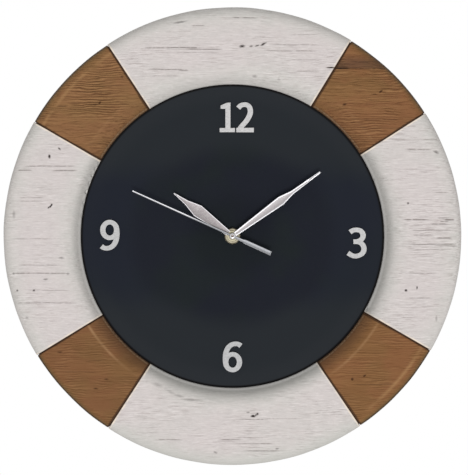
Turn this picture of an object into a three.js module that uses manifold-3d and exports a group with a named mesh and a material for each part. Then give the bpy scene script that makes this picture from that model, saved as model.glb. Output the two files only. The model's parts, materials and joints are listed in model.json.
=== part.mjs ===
// Lifebuoy wall clock: a ring of eight wooden segments round a dark dial, and a quartz movement.
// Lengths are in millimetres. Pieces are drawn as seen from the front, with the hand axis in the
// middle: x to the right, y up, z out of the wall. The last group turns them to stand upright,
// with up along +Z and the front facing -Y.
import * as THREE from "three";
import { mergeVertices } from "three/addons/utils/BufferGeometryUtils.js";
import Module from "manifold-3d";

const wasm = await Module();
wasm.setup();

// Clearances
const seatGap = 0.3;
const fitGap = 0.15;
const runningGap = 0.3;
const layerGap = 0.5;
const cutOverrun = 1;
const mergeDistance = 0.0005;

// Ring of wooden segments
const openingRadius = 126;
const ringWidth = 64;
const bevelWidth = 13.7;
const bevelDrop = 8;
const lipDepth = 2.2;
const edgeRound = 6;
const glueLine = 0.4;
const brownInset = 0.3;
const wallClearance = 1.5;

// Dial plate and its screws
const dialOverlap = 10;
const dialClearance = 1;
const dialThickness = 4;
const screwShankRadius = 1.5;
const screwHeadRadius = 3;
const screwHeadHeight = 1.6;

// Numerals
const numeralHeight = 24.9;
// The 3, 6 and 9 stand a little taller than the 12, as round figures do.
const roundHeight = 25.5;
const numeralThickness = 1.6;
const numeralStem = 4.4;
const numeralBar = 3.8;
const oneWidth = 13;
const oneBaseHeight = 3.7;
const twoWidth = 14.5;
const threeWidth = 16.4;
const sixWidth = 16.1;
const digitGap = 1;
const twelveMargin = 14.9;
const twelveShift = 3.5;
const threeMargin = 14.6;
const threeDrop = 5.85;
const sixMargin = 13;
const nineMargin = 16.2;
const nineRise = 0.7;

// Hands
const handThickness = 0.6;
const handGap = 1;
const minuteHandLength = 90;
const minuteHandWidth = 7.6;
const minuteHandRoot = 3.5;
const minuteHandTip = 1.5;
const hourHandLength = 60.2;
const hourHandWidth = 10.5;
const hourHandRoot = 4.2;
const hourHandTip = 1.4;
const secondHandLength = 90.8;
const secondHandWidth = 1.5;
const secondTailLength = 35;
const secondTailWidth = 3.5;
const secondNeckLength = 9.5;
const secondNeckWidth = 2.2;
const hubRim = 1.1;
const capRadius = 2.35;
const capHeight = 1.8;

// Fixing of the movement in the dial
const bushingRadius = 4;
const flangeRadius = 6;
const flangeThickness = 0.8;
const gasketRadius = 8;
const gasketThickness = 1;
const washerRadius = 6.6;
const washerThickness = 1;
const nutAcrossFlats = 12.2;
const nutThickness = 2.5;
const nutChamfer = 0.8;
const bushingProud = 0.6;

// Pipes and arbors of the hands
const secondsArborRadius = 0.5;
const minutePipeRadius = 1.75;
const minutePipeWall = 0.8;
const hourPipeWall = 0.55;

// Wheels of the movement
const thirdArborDistance = 11.9;
const intermediateDistance = 9.24;
const rotorDistance = 7.2;
const wheelThickness = 0.8;
const leafOverrun = 0.2;
const pivotRadius = 0.5;
const minuteArborRadius = 1;
const knobRadius = 5.8;
const knobProud = 0.5;
const knobGrip = 0.35;
const rotorMagnetRadius = 2.8;
const rotorMagnetThickness = 2;

// Movement case
const caseWall = 1.5;
const caseCorner = 3;
const lidThickness = 1.4;
const dividerThickness = 1.2;
const bossWall = 1;
const bossHeight = 1.6;
const pillarRadius = 1.5;
const plateThickness = 0.8;

// Motor
const statorThickness = 0.8;
const statorBarWidth = 6;
const statorRim = 1.5;
const statorArmWidth = 3.5;
const magnetGap = 0.5;
const coreWidth = 3;
const coreThickness = 1;
const bobbinWall = 0.8;
const windingInset = 0.5;

// Battery, contacts and circuit board
const batteryLength = 50.5;
const batteryRadius = 7.25;
const batteryNubRadius = 2.75;
const batteryNubHeight = 1;
const batteryClearance = 0.6;
const contactThickness = 0.5;
const boardThickness = 0.8;
const boardHeight = 6.5;
const crystalRadius = 1;
const crystalLength = 6;
const chipRadius = 2.4;
const chipThickness = 0.8;

// Keyhole hanger
const hangerWidth = 46;
const hangerHeight = 26;
const hangerThickness = 1.5;
const hangerCorner = 4;
const keyholeRadius = 5.5;
const slotWidth = 5;
const slotTravel = 9;
const hangerScrewSpacing = 35;
const hangerScrewLength = 13;
const pocketMargin = 2;
const pocketDepth = 7;

// Counts of sides and steps
const ringSides = 72;
const roundSides = 20;
const pinSides = 8;
const arcSteps = 3;
const strokeSteps = 10;

// Places of the glued seams, in degrees anticlockwise from the right, and the segments between them
const segments = [
  { place: "right", stain: "white", from: -30, to: 32.6 },
  { place: "upper_right", stain: "brown", from: 32.6, to: 58.7 },
  { place: "top", stain: "white", from: 58.7, to: 123.2 },
  { place: "upper_left", stain: "brown", from: 123.2, to: 150 },
  { place: "left", stain: "white", from: 150, to: 211.4 },
  { place: "lower_left", stain: "brown", from: 211.4, to: 237.1 },
  { place: "bottom", stain: "white", from: 237.1, to: 304 },
  { place: "lower_right", stain: "brown", from: 304, to: 330 },
];

// Where the hands point, in degrees clockwise from twelve
const hourAngle = 306.2;
const minuteAngle = 53.9;
const secondAngle = 294.3;

// Where the arbors lie round the hand axis, in degrees anticlockwise from the right
const thirdArborAngle = 150;
const minuteArborAngle = 214;
const intermediateAngle = 55;
const rotorAngle = -25;

// Teeth of the wheels, and of the pinions that drive them
const leaves = 6;
const cannonLeaves = 8;
const thirdTeeth = 45;
const centreTeeth = 48;
const secondsTeeth = 36;
const intermediateTeeth = 30;
const minuteTeeth = 24;
const hourTeeth = 24;

// Tooth shapes: heights as shares of the module, half widths as shares of the pitch
const wheelToothShares = { tip: 0.95, root: 1.15, tipHalf: 0, rootHalf: 0.25 };
const leafShares = { tip: 0.8, root: 1.25, tipHalf: 0.1, rootHalf: 0.17 };

// Numeral outlines: the 1 as shares of its box, and pen strokes as shares of the box that they fill
const oneShares = {
  stemLeft: 0.36,
  stemRight: 0.71,
  flagTop: 0.895,
  flagLow: 0.78,
  flagBend: 0.46,
  flagBendTop: 0.99,
  flagLeft: 0.06,
};
const twoShares = [
  [-0.06, 0.86],
  [0.14, 0.96],
  [0.46, 1],
  [0.77, 0.95],
  [0.925, 0.8],
  [0.913, 0.64],
  [0.77, 0.48],
  [0.56, 0.326],
  [0.26, 0.17],
  [0.05, 0.03],
];
const threeUpperShares = [
  [0.04, 0.91],
  [0.23, 0.98],
  [0.52, 1],
  [0.8, 0.95],
  [0.94, 0.8],
  [0.84, 0.65],
  [0.58, 0.565],
  [0.28, 0.55],
];
const threeLowerShares = [
  [0.28, 0.55],
  [0.64, 0.535],
  [0.91, 0.43],
  [1, 0.26],
  [0.86, 0.09],
  [0.5, 0],
  [0.19, 0.02],
  [-0.11, 0.12],
];
const tailShares = [
  [0.935, 0.85],
  [0.99, 0.675],
  [1, 0.52],
  [0.95, 0.325],
  [0.8, 0.146],
  [0.545, 0.03],
  [0.27, 0],
  [0.06, 0.02],
  [-0.1, 0.08],
];
const bowlShares = { middle: [0.49, 0.7], radius: [0.49, 0.3] };

// Hand outlines: places along the hand as shares of its length, the waist as a share of its width
const hourHandShares = { belly: 0.59, waist: 0.79, waistWidth: 0.38 };
const minuteHandShares = { belly: 0.553, waist: 0.68, waistWidth: 0.42 };

// Place of the fourth pillar of the movement, as a share of the way to the others
const lowPillarShare = 0.25;

// The bevel of the ring follows an ellipse from one of these angles to the other, in degrees
const bevelStart = 12;
const bevelEnd = 72;

// A closed geometry as a solid that can be joined and cut.
function solidOf(geometry) {
  const loose = geometry.index ? geometry.toNonIndexed() : geometry;
  const bare = new THREE.BufferGeometry();
  bare.setAttribute("position", loose.getAttribute("position"));
  const merged = mergeVertices(bare, mergeDistance);
  const vertProperties = merged.getAttribute("position").array;
  const triVerts = new Uint32Array(merged.index.array);
  return new wasm.Manifold(new wasm.Mesh({ numProp: 3, vertProperties, triVerts }));
}

// A solid as a geometry with flat faces.
function geometryOf(solid) {
  const mesh = solid.getMesh();
  const indexed = new THREE.BufferGeometry();
  indexed.setAttribute("position", new THREE.BufferAttribute(mesh.vertProperties, 3));
  indexed.setIndex(new THREE.BufferAttribute(mesh.triVerts, 1));
  const flat = indexed.toNonIndexed();
  flat.computeVertexNormals();
  return flat;
}

function joined(...geometries) {
  const solids = geometries.map(solidOf);
  return geometryOf(solids.reduce((whole, next) => whole.add(next)));
}

function cut(geometry, ...cutters) {
  const solids = cutters.map(solidOf);
  return geometryOf(solids.reduce((rest, next) => rest.subtract(next), solidOf(geometry)));
}

function shared(geometry, other) {
  return geometryOf(solidOf(geometry).intersect(solidOf(other)));
}

// A flat outline drawn out from one height to another.
function extruded(shape, low, high, curveSegments = roundSides) {
  const settings = { depth: high - low, bevelEnabled: false, curveSegments };
  return new THREE.ExtrudeGeometry(shape, settings).translate(0, 0, low);
}

// A profile of [radius, height] points, anticlockwise, turned round the z axis.
function turned(profile, sides = roundSides) {
  const points = profile.map(([radius, height]) => new THREE.Vector2(radius, height));
  points.push(points[0].clone());
  return new THREE.LatheGeometry(points, sides).rotateX(Math.PI / 2).rotateZ(Math.PI / 2);
}

function disc(radius, low, high, sides = roundSides, x = 0, y = 0) {
  const middle = (low + high) / 2;
  const drum = new THREE.CylinderGeometry(radius, radius, high - low, sides);
  return drum.rotateX(Math.PI / 2).translate(x, y, middle);
}

function tube(outer, inner, low, high, sides = roundSides) {
  return turned([[inner, low], [outer, low], [outer, high], [inner, high]], sides);
}

function block(left, right, bottom, top, low, high) {
  const box = new THREE.BoxGeometry(right - left, top - bottom, high - low);
  return box.translate((left + right) / 2, (bottom + top) / 2, (low + high) / 2);
}

function polygon(points) {
  return new THREE.Shape(points.map(([x, y]) => new THREE.Vector2(x, y)));
}

function roundedRectangle(left, right, bottom, top, corner) {
  const shape = new THREE.Shape();
  shape.moveTo(left + corner, bottom);
  shape.lineTo(right - corner, bottom);
  shape.absarc(right - corner, bottom + corner, corner, -Math.PI / 2, 0, false);
  shape.lineTo(right, top - corner);
  shape.absarc(right - corner, top - corner, corner, 0, Math.PI / 2, false);
  shape.lineTo(left + corner, top);
  shape.absarc(left + corner, top - corner, corner, Math.PI / 2, Math.PI, false);
  shape.lineTo(left, bottom + corner);
  shape.absarc(left + corner, bottom + corner, corner, Math.PI, 1.5 * Math.PI, false);
  return shape;
}

const radians = THREE.MathUtils.degToRad;

function polar(distance, degrees, origin = { x: 0, y: 0 }) {
  const angle = radians(degrees);
  return { x: origin.x + distance * Math.cos(angle), y: origin.y + distance * Math.sin(angle) };
}

// Finishes
function finish(colour, roughness, metalness) {
  return new THREE.MeshStandardMaterial({ color: new THREE.Color(colour), roughness, metalness });
}
const whitewash = finish("#d5cdca", 0.6, 0);
const brownStain = finish("#835c3c", 0.55, 0);
const dialPaint = finish("#24282e", 0.8, 0);
const brushedSilver = finish("#c8c8c8", 0.35, 0.9);
const handAluminium = finish("#cdc8cb", 0.3, 0.9);
const brass = finish("#a09b7d", 0.35, 0.9);
const steel = finish("#9aa0a5", 0.35, 0.9);
const zincPlate = finish("#b9bcc0", 0.4, 0.9);
const blackPlastic = finish("#17181a", 0.5, 0);
const whitePlastic = finish("#e6e4dc", 0.5, 0);
const blackRubber = finish("#101011", 0.9, 0);
const copperWire = finish("#a4592b", 0.4, 0.8);
const boardGreen = finish("#1f5a36", 0.5, 0);
const chipBlack = finish("#0b0b0c", 0.3, 0);
const magnetGrey = finish("#4a4c50", 0.5, 0.6);
const batteryJacket = finish("#2d4f86", 0.35, 0.3);

function piece(parent, name, geometry, material) {
  const mesh = new THREE.Mesh(geometry, material);
  mesh.name = name;
  parent.add(mesh);
  return mesh;
}

// Gear outlines and wheels
function toothTip(teeth, module, shares) {
  return module * (teeth / 2 + shares.tip);
}

function gearOutline(teeth, module, shares, phase) {
  const pitch = (2 * Math.PI) / teeth;
  const tip = toothTip(teeth, module, shares);
  const root = module * (teeth / 2 - shares.root);
  const tops = shares.tipHalf > 0 ? [-shares.tipHalf, shares.tipHalf] : [0];
  const corners = [
    [root, -shares.rootHalf],
    ...tops.map((share) => [tip, share]),
    [root, shares.rootHalf],
  ];
  const points = [];
  for (let tooth = 0; tooth < teeth; tooth += 1) {
    for (const [radius, share] of corners) {
      const angle = phase + (tooth + share) * pitch;
      points.push([radius * Math.cos(angle), radius * Math.sin(angle)]);
    }
  }
  return polygon(points);
}

// A pinion has a leaf, and its wheel a tooth space, on the line between their arbors.
function pinionAt(count, module, low, high, towards) {
  return extruded(gearOutline(count, module, leafShares, radians(towards)), low, high);
}

function wheelAt(count, module, low, high, towards) {
  const phase = radians(towards) + Math.PI / count;
  return extruded(gearOutline(count, module, wheelToothShares, phase), low, high);
}

// Places of the arbors, seen from the front, and the modules that their distances ask for
const thirdModule = (2 * thirdArborDistance) / (leaves + thirdTeeth);
const centreModule = (2 * thirdArborDistance) / (leaves + centreTeeth);
const secondsModule = (2 * intermediateDistance) / (leaves + secondsTeeth);
const rotorModule = (2 * rotorDistance) / (leaves + intermediateTeeth);
const centreTip = toothTip(centreTeeth, centreModule, wheelToothShares);
const minuteArborDistance = centreTip + minuteArborRadius + layerGap;
const cannonModule = (2 * minuteArborDistance) / (cannonLeaves + minuteTeeth);
const hourModule = (2 * minuteArborDistance) / (leaves + hourTeeth);
const thirdArbor = polar(thirdArborDistance, thirdArborAngle);
const minuteArbor = polar(minuteArborDistance, minuteArborAngle);
const intermediateArbor = polar(intermediateDistance, intermediateAngle);
const rotorArbor = polar(rotorDistance, rotorAngle, intermediateArbor);
const thirdTip = toothTip(thirdTeeth, thirdModule, wheelToothShares);
const minuteTip = toothTip(minuteTeeth, cannonModule, wheelToothShares);

// Heights inside the movement, from the front of its case, going back to the wall
const coverInside = -caseWall;
const flangeFront = coverInside - seatGap;
const hourWheelFront = flangeFront - flangeThickness - layerGap;
const hourWheelBack = hourWheelFront - wheelThickness;
const minuteWheelFront = hourWheelBack - leafOverrun - layerGap;
const minuteWheelBack = minuteWheelFront - wheelThickness;
const centreWheelFront = minuteWheelBack - leafOverrun - layerGap;
const centreWheelBack = centreWheelFront - wheelThickness;
const minutePipeBack = centreWheelBack - leafOverrun;
const plateFront = minutePipeBack - layerGap;
const plateBack = plateFront - plateThickness;
const thirdWheelFront = plateBack - layerGap;
const thirdWheelBack = thirdWheelFront - wheelThickness;
const secondsWheelFront = thirdWheelBack - leafOverrun - layerGap;
const secondsWheelBack = secondsWheelFront - wheelThickness;
const intermediateFront = secondsWheelBack - leafOverrun - layerGap;
const intermediateBack = intermediateFront - wheelThickness;
const bossFront = intermediateBack - leafOverrun - layerGap;
const lidInside = bossFront - bossHeight;
const caseBack = lidInside - lidThickness;
const pivotBack = lidInside + seatGap;
const statorFront = plateBack - seatGap;
const coreFront = statorFront - statorThickness - seatGap;
const coilAxis = coreFront - coreThickness / 2;
const boardFront = bossFront;

// Sizes across the movement
const bobbinRadius = coilAxis - lidInside - seatGap;
const windingRadius = bobbinRadius - windingInset;
const batteryReach = batteryLength / 2 + seatGap + contactThickness + seatGap;
const statorEyeRadius = rotorMagnetRadius + magnetGap + statorRim;
const coilReach = rotorArbor.x + statorEyeRadius + layerGap + 2 * bobbinRadius + seatGap;
const thirdReach = thirdTip - thirdArbor.x + layerGap;
const minuteReach = minuteTip - minuteArbor.x + layerGap;
const innerHalf = Math.max(batteryReach, coilReach, thirdReach, minuteReach);
const chamberTop = thirdArbor.y + thirdTip + layerGap;
const dividerTop = minuteArbor.y - minuteTip - layerGap;
const bayTop = dividerTop - dividerThickness;
const bayBottom = bayTop - 2 * (batteryRadius + batteryClearance);
const bayMiddle = (bayTop + bayBottom) / 2;
const batteryAxis = coverInside - seatGap - batteryRadius;
const coilX = innerHalf - seatGap - bobbinRadius;
const chamberMiddle = (chamberTop + dividerTop) / 2;
const coreHalf = (chamberTop - dividerTop) / 2 - 2 * pillarRadius - 2 * layerGap;
const bobbinHalf = coreHalf - statorArmWidth - seatGap;
const knobWellRadius = knobRadius + layerGap;
const knobCupRadius = knobWellRadius + bossWall;
const pillarX = innerHalf - layerGap - pillarRadius;
const pillarTop = chamberTop - layerGap - pillarRadius;
const pillarBottom = dividerTop + seatGap + contactThickness + layerGap + pillarRadius;
const boardLeft = minuteArbor.x + knobCupRadius + layerGap;
const boardRight = coilX + coreWidth / 2;
const boardBottom = dividerTop + seatGap;

// Heights in front of the wall
const caseFront = wallClearance - caseBack;
const gasketBack = caseFront + seatGap;
const dialBack = gasketBack + gasketThickness + seatGap;
const dialFront = dialBack + dialThickness;
const shoulder = dialFront + seatGap;
const ringDepth = shoulder + lipDepth + bevelDrop;
const numeralBack = dialFront + seatGap;
const washerBack = dialFront + seatGap;
const nutBack = washerBack + washerThickness + seatGap;
const bushingFront = nutBack + nutThickness + bushingProud;
const hourHandBack = bushingFront + bushingProud;
const minuteHandBack = hourHandBack + handThickness + handGap;
const secondHandBack = minuteHandBack + handThickness + handGap;

// Radii across the clock
const outerRadius = openingRadius + ringWidth;
const creaseRadius = openingRadius + bevelWidth;
const dialRadius = openingRadius + dialOverlap;
const rebateRadius = dialRadius + dialClearance;
const dialScrewCircle = openingRadius + dialOverlap / 2;
const hangerMiddle = (rebateRadius + outerRadius) / 2;
const slotTop = hangerMiddle + slotTravel / 2 + slotWidth / 2;
const bushingBore = minutePipeRadius + runningGap + hourPipeWall + runningGap;
const hourPipeBore = minutePipeRadius + runningGap;
const hourPipeRadius = hourPipeBore + hourPipeWall;
const minutePipeBore = minutePipeRadius - minutePipeWall;

// The bevel falls from the crease to the lip along part of an ellipse.
function bevelPoints() {
  const start = radians(bevelStart);
  const end = radians(bevelEnd);
  const points = [];
  for (let step = arcSteps; step >= 0; step -= 1) {
    const angle = start + ((end - start) * step) / arcSteps;
    const across = (Math.sin(angle) - Math.sin(start)) / (Math.sin(end) - Math.sin(start));
    const down = (Math.cos(start) - Math.cos(angle)) / (Math.cos(start) - Math.cos(end));
    points.push([creaseRadius - bevelWidth * across, ringDepth - bevelDrop * down]);
  }
  return points;
}

// The rim is rounded by a quarter circle.
function rimPoints(rim) {
  const points = [];
  for (let step = 0; step <= arcSteps; step += 1) {
    const angle = (Math.PI / 2) * (step / arcSteps);
    points.push([
      rim - edgeRound * (1 - Math.cos(angle)),
      ringDepth - edgeRound * (1 - Math.sin(angle)),
    ]);
  }
  return points;
}

function wholeRing(rim) {
  const profile = [[rebateRadius, 0], [rim, 0], ...rimPoints(rim), ...bevelPoints().reverse()];
  profile.push([openingRadius, shoulder], [rebateRadius, shoulder]);
  return turned(profile, ringSides);
}

// The wedge between two seams, drawn in by half a glue line on each side.
function wedge({ from, to }) {
  const half = (to - from) / 2;
  const apex = polar(glueLine / 2 / Math.sin(radians(half)), from + half);
  const reach = 2 * outerRadius;
  const corners = [from, from + half, to].map((angle) => polar(reach, angle, apex));
  const outline = polygon([apex, ...corners].map(({ x, y }) => [x, y]));
  return extruded(outline, -cutOverrun, ringDepth + cutOverrun);
}

const screwBite = lipDepth + bevelDrop / 3;

function dialScrewPlace({ from, to }) {
  return polar(dialScrewCircle, (from + to) / 2);
}

// What the hanger needs in the wood behind the top segment
function hangerOutline(clearance) {
  const half = hangerWidth / 2 + clearance;
  const rise = hangerHeight / 2 + clearance;
  const corner = hangerCorner + clearance;
  return roundedRectangle(-half, half, hangerMiddle - rise, hangerMiddle + rise, corner);
}

function hangerCutters() {
  const recess = hangerThickness + seatGap;
  const pocketSide = keyholeRadius + pocketMargin;
  const bottom = hangerMiddle - slotTravel / 2 - pocketSide;
  const top = hangerMiddle + slotTravel / 2 + pocketSide;
  const pilot = screwShankRadius + fitGap;
  const deep = hangerScrewLength + seatGap;
  return [
    extruded(hangerOutline(seatGap), -cutOverrun, recess, arcSteps),
    block(-pocketSide, pocketSide, bottom, top, 0, recess + pocketDepth),
    disc(pilot, 0, deep, pinSides, -hangerScrewSpacing / 2, hangerMiddle),
    disc(pilot, 0, deep, pinSides, hangerScrewSpacing / 2, hangerMiddle),
  ];
}

function addRing(parent) {
  const rings = { white: wholeRing(outerRadius), brown: wholeRing(outerRadius - brownInset) };
  const stains = { white: whitewash, brown: brownStain };
  for (const segment of segments) {
    const { place, stain } = segment;
    const screw = dialScrewPlace(segment);
    const pilotTop = shoulder + screwBite + seatGap;
    const pilot = disc(screwShankRadius + fitGap, dialFront, pilotTop, pinSides, screw.x, screw.y);
    const cutters = place === "top" ? [pilot, ...hangerCutters()] : [pilot];
    const wood = cut(shared(rings[stain], wedge(segment)), ...cutters);
    piece(parent, `${stain}_segment_${place}`, wood, stains[stain]);
  }
}

function addDial(parent) {
  const hole = screwShankRadius + fitGap;
  const cutters = segments.map((segment) => {
    const { x, y } = dialScrewPlace(segment);
    return disc(hole, dialBack - cutOverrun, dialFront + cutOverrun, pinSides, x, y);
  });
  const bore = disc(bushingRadius + seatGap, dialBack - cutOverrun, dialFront + cutOverrun);
  const plate = disc(dialRadius, dialBack, dialFront, ringSides);
  piece(parent, "dial_plate", cut(plate, bore, ...cutters), dialPaint);
}

// A screw with a rounded head, its tip at the top of the profile.
function dialScrewGeometry() {
  const headTop = dialBack - seatGap;
  const headBottom = headTop - screwHeadHeight;
  const tip = shoulder + screwBite;
  return turned(
    [
      [0, headBottom],
      [screwHeadRadius, headBottom + screwHeadHeight / 2],
      [screwHeadRadius, headTop],
      [screwShankRadius, headTop],
      [screwShankRadius, tip - screwShankRadius],
      [0, tip],
    ],
    pinSides,
  );
}

function addDialScrews(parent) {
  for (const segment of segments) {
    const { x, y } = dialScrewPlace(segment);
    const screw = piece(parent, `dial_screw_${segment.place}`, dialScrewGeometry(), steel);
    screw.position.set(x, y, 0);
  }
}

// A pen stroke along a smooth centre line, given as shares of the box that the stroke fills.
function stroke(shares, width, height) {
  const places = shares.map(
    ([u, v]) =>
      new THREE.Vector2(
        numeralStem / 2 + u * (width - numeralStem),
        numeralBar / 2 + v * (height - numeralBar),
      ),
  );
  const line = new THREE.SplineCurve(places);
  const left = [];
  const right = [];
  for (let step = 0; step <= strokeSteps; step += 1) {
    const point = line.getPoint(step / strokeSteps);
    const along = line.getTangent(step / strokeSteps);
    const across = [(-along.y * numeralStem) / 2, (along.x * numeralBar) / 2];
    left.push([point.x + across[0], point.y + across[1]]);
    right.unshift([point.x - across[0], point.y - across[1]]);
  }
  return extruded(polygon([...right, ...left]), 0, numeralThickness);
}

function oneGeometry() {
  const x = (share) => oneWidth * share;
  const y = (share) => numeralHeight * share;
  const outline = polygon([
    [0, 0],
    [oneWidth, 0],
    [oneWidth, oneBaseHeight],
    [x(oneShares.stemRight), oneBaseHeight],
    [x(oneShares.stemRight), numeralHeight],
    [x(oneShares.flagBend), y(oneShares.flagBendTop)],
    [x(oneShares.flagLeft), y(oneShares.flagTop)],
    [x(oneShares.flagLeft), y(oneShares.flagLow)],
    [x(oneShares.stemLeft), y(oneShares.flagLow)],
    [x(oneShares.stemLeft), oneBaseHeight],
    [0, oneBaseHeight],
  ]);
  return extruded(outline, 0, numeralThickness);
}

function twoGeometry() {
  const base = block(0, twoWidth, 0, oneBaseHeight, 0, numeralThickness);
  return joined(stroke(twoShares, twoWidth, numeralHeight), base);
}

function threeGeometry() {
  const upper = stroke(threeUpperShares, threeWidth, roundHeight);
  return joined(upper, stroke(threeLowerShares, threeWidth, roundHeight));
}

// The bowl is an ellipse with an ellipse cut out of it, and the tail leaves it at the right.
function nineGeometry(width) {
  const x = numeralStem / 2 + bowlShares.middle[0] * (width - numeralStem);
  const y = numeralBar / 2 + bowlShares.middle[1] * (roundHeight - numeralBar);
  const across = bowlShares.radius[0] * (width - numeralStem);
  const up = bowlShares.radius[1] * (roundHeight - numeralBar);
  const oval = (grow, low, high) => {
    const shape = new THREE.Shape();
    const wide = across + (grow * numeralStem) / 2;
    const tall = up + (grow * numeralBar) / 2;
    shape.absellipse(x, y, wide, tall, 0, 2 * Math.PI, false, 0);
    return extruded(shape, low, high, strokeSteps);
  };
  const hole = oval(-1, -cutOverrun, numeralThickness + cutOverrun);
  const ring = cut(oval(1, 0, numeralThickness), hole);
  return joined(ring, stroke(tailShares, width, roundHeight));
}

function addNumerals(parent) {
  const twelveWidth = oneWidth + digitGap + twoWidth;
  const twelveLeft = twelveShift - twelveWidth / 2;
  const twelveBase = openingRadius - twelveMargin - numeralHeight;
  const one = piece(parent, "numeral_1", oneGeometry(), brushedSilver);
  one.position.set(twelveLeft, twelveBase, numeralBack);
  const two = piece(parent, "numeral_2", twoGeometry(), brushedSilver);
  two.position.set(twelveLeft + oneWidth + digitGap, twelveBase, numeralBack);
  const three = piece(parent, "numeral_3", threeGeometry(), brushedSilver);
  const threeLeft = openingRadius - threeMargin - threeWidth;
  three.position.set(threeLeft, -threeDrop - roundHeight / 2, numeralBack);
  const six = piece(parent, "numeral_6", nineGeometry(sixWidth), brushedSilver);
  six.rotation.z = Math.PI;
  six.position.set(sixWidth / 2, sixMargin + roundHeight - openingRadius, numeralBack);
  const nine = piece(parent, "numeral_9", nineGeometry(sixWidth), brushedSilver);
  nine.position.set(nineMargin - openingRadius, nineRise - roundHeight / 2, numeralBack);
}

// A hand pointing up, from [place, half width] pairs along it, with a hub bored for its pipe.
function blade(profile) {
  const right = profile.map(([along, half]) => [half, along]);
  const left = profile.map(([along, half]) => [-half, along]).reverse();
  return extruded(polygon([...right, ...left]), 0, handThickness);
}

function hand(profile, pipeRadius) {
  const bore = disc(pipeRadius + fitGap, -cutOverrun, handThickness + cutOverrun);
  const hub = disc(pipeRadius + fitGap + hubRim, 0, handThickness);
  return cut(joined(blade(profile), hub), bore);
}

// A leaf-shaped hand with its widest place at the belly and a narrow waist before the point.
function leafHand(length, width, root, tip, shares, pipeRadius) {
  const profile = [
    [0, root / 2],
    [length * shares.belly, width / 2],
    [length * shares.waist, (width * shares.waistWidth) / 2],
    [length, tip / 2],
  ];
  return hand(profile, pipeRadius);
}

function hourHandGeometry() {
  return leafHand(
    hourHandLength,
    hourHandWidth,
    hourHandRoot,
    hourHandTip,
    hourHandShares,
    hourPipeRadius,
  );
}

function minuteHandGeometry() {
  return leafHand(
    minuteHandLength,
    minuteHandWidth,
    minuteHandRoot,
    minuteHandTip,
    minuteHandShares,
    minutePipeRadius,
  );
}

// The seconds hand has a needle, a paddle behind the axis and a cap that grips its arbor.
function secondHandGeometry() {
  const arm = blade([
    [-secondTailLength, secondTailWidth / 2],
    [-secondNeckLength - secondTailWidth / 2, secondTailWidth / 2],
    [-secondNeckLength, secondNeckWidth / 2],
    [0, secondNeckWidth / 2],
    [secondHandLength, secondHandWidth / 2],
  ]);
  const bore = disc(secondsArborRadius + fitGap, -cutOverrun, capHeight + cutOverrun, pinSides);
  return cut(joined(arm, disc(capRadius, 0, capHeight)), bore);
}

function addHands(parent) {
  const hour = piece(parent, "hour_hand", hourHandGeometry(), handAluminium);
  hour.position.z = hourHandBack;
  hour.rotation.z = -radians(hourAngle);
  const minute = piece(parent, "minute_hand", minuteHandGeometry(), handAluminium);
  minute.position.z = minuteHandBack;
  minute.rotation.z = -radians(minuteAngle);
  const second = piece(parent, "second_hand", secondHandGeometry(), handAluminium);
  second.position.z = secondHandBack;
  second.rotation.z = -radians(secondAngle);
}

// Bushing, gasket, washer and nut that clamp the movement to the dial
function bushingGeometry() {
  const back = flangeFront - flangeThickness + caseFront;
  return turned([
    [bushingBore, back],
    [flangeRadius, back],
    [flangeRadius, back + flangeThickness],
    [bushingRadius, back + flangeThickness],
    [bushingRadius, bushingFront],
    [bushingBore, bushingFront],
  ]);
}

// A hexagon whose corners point up and down, with both ends chamfered.
function nutGeometry() {
  const corner = nutAcrossFlats / Math.sqrt(3);
  const points = [];
  for (let side = 0; side < 6; side += 1) {
    const place = polar(corner, 90 + 60 * side);
    points.push([place.x, place.y]);
  }
  const top = nutBack + nutThickness;
  const hexagon = extruded(polygon(points), nutBack, top);
  const crown = turned([
    [0, nutBack],
    [nutAcrossFlats / 2, nutBack],
    [corner, nutBack + nutChamfer / 2],
    [corner, top - nutChamfer],
    [nutAcrossFlats / 2 - nutChamfer / 2, top],
    [0, top],
  ]);
  const bore = disc(bushingRadius + fitGap, nutBack - cutOverrun, top + cutOverrun);
  return cut(shared(hexagon, crown), bore);
}

function addFixing(parent) {
  const bore = bushingRadius + seatGap;
  const gasketFront = gasketBack + gasketThickness;
  const washerFront = washerBack + washerThickness;
  piece(parent, "threaded_bushing", bushingGeometry(), brass);
  piece(parent, "rubber_gasket", tube(gasketRadius, bore, gasketBack, gasketFront), blackRubber);
  piece(parent, "brass_washer", tube(washerRadius, bore, washerBack, washerFront), brass);
  piece(parent, "hex_nut", nutGeometry(), brass);
}

// Case of the movement
function caseOutline(inset) {
  const half = innerHalf + caseWall - inset;
  const bottom = bayBottom - caseWall + inset;
  const top = chamberTop + caseWall - inset;
  return roundedRectangle(-half, half, bottom, top, caseCorner - inset);
}

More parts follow.
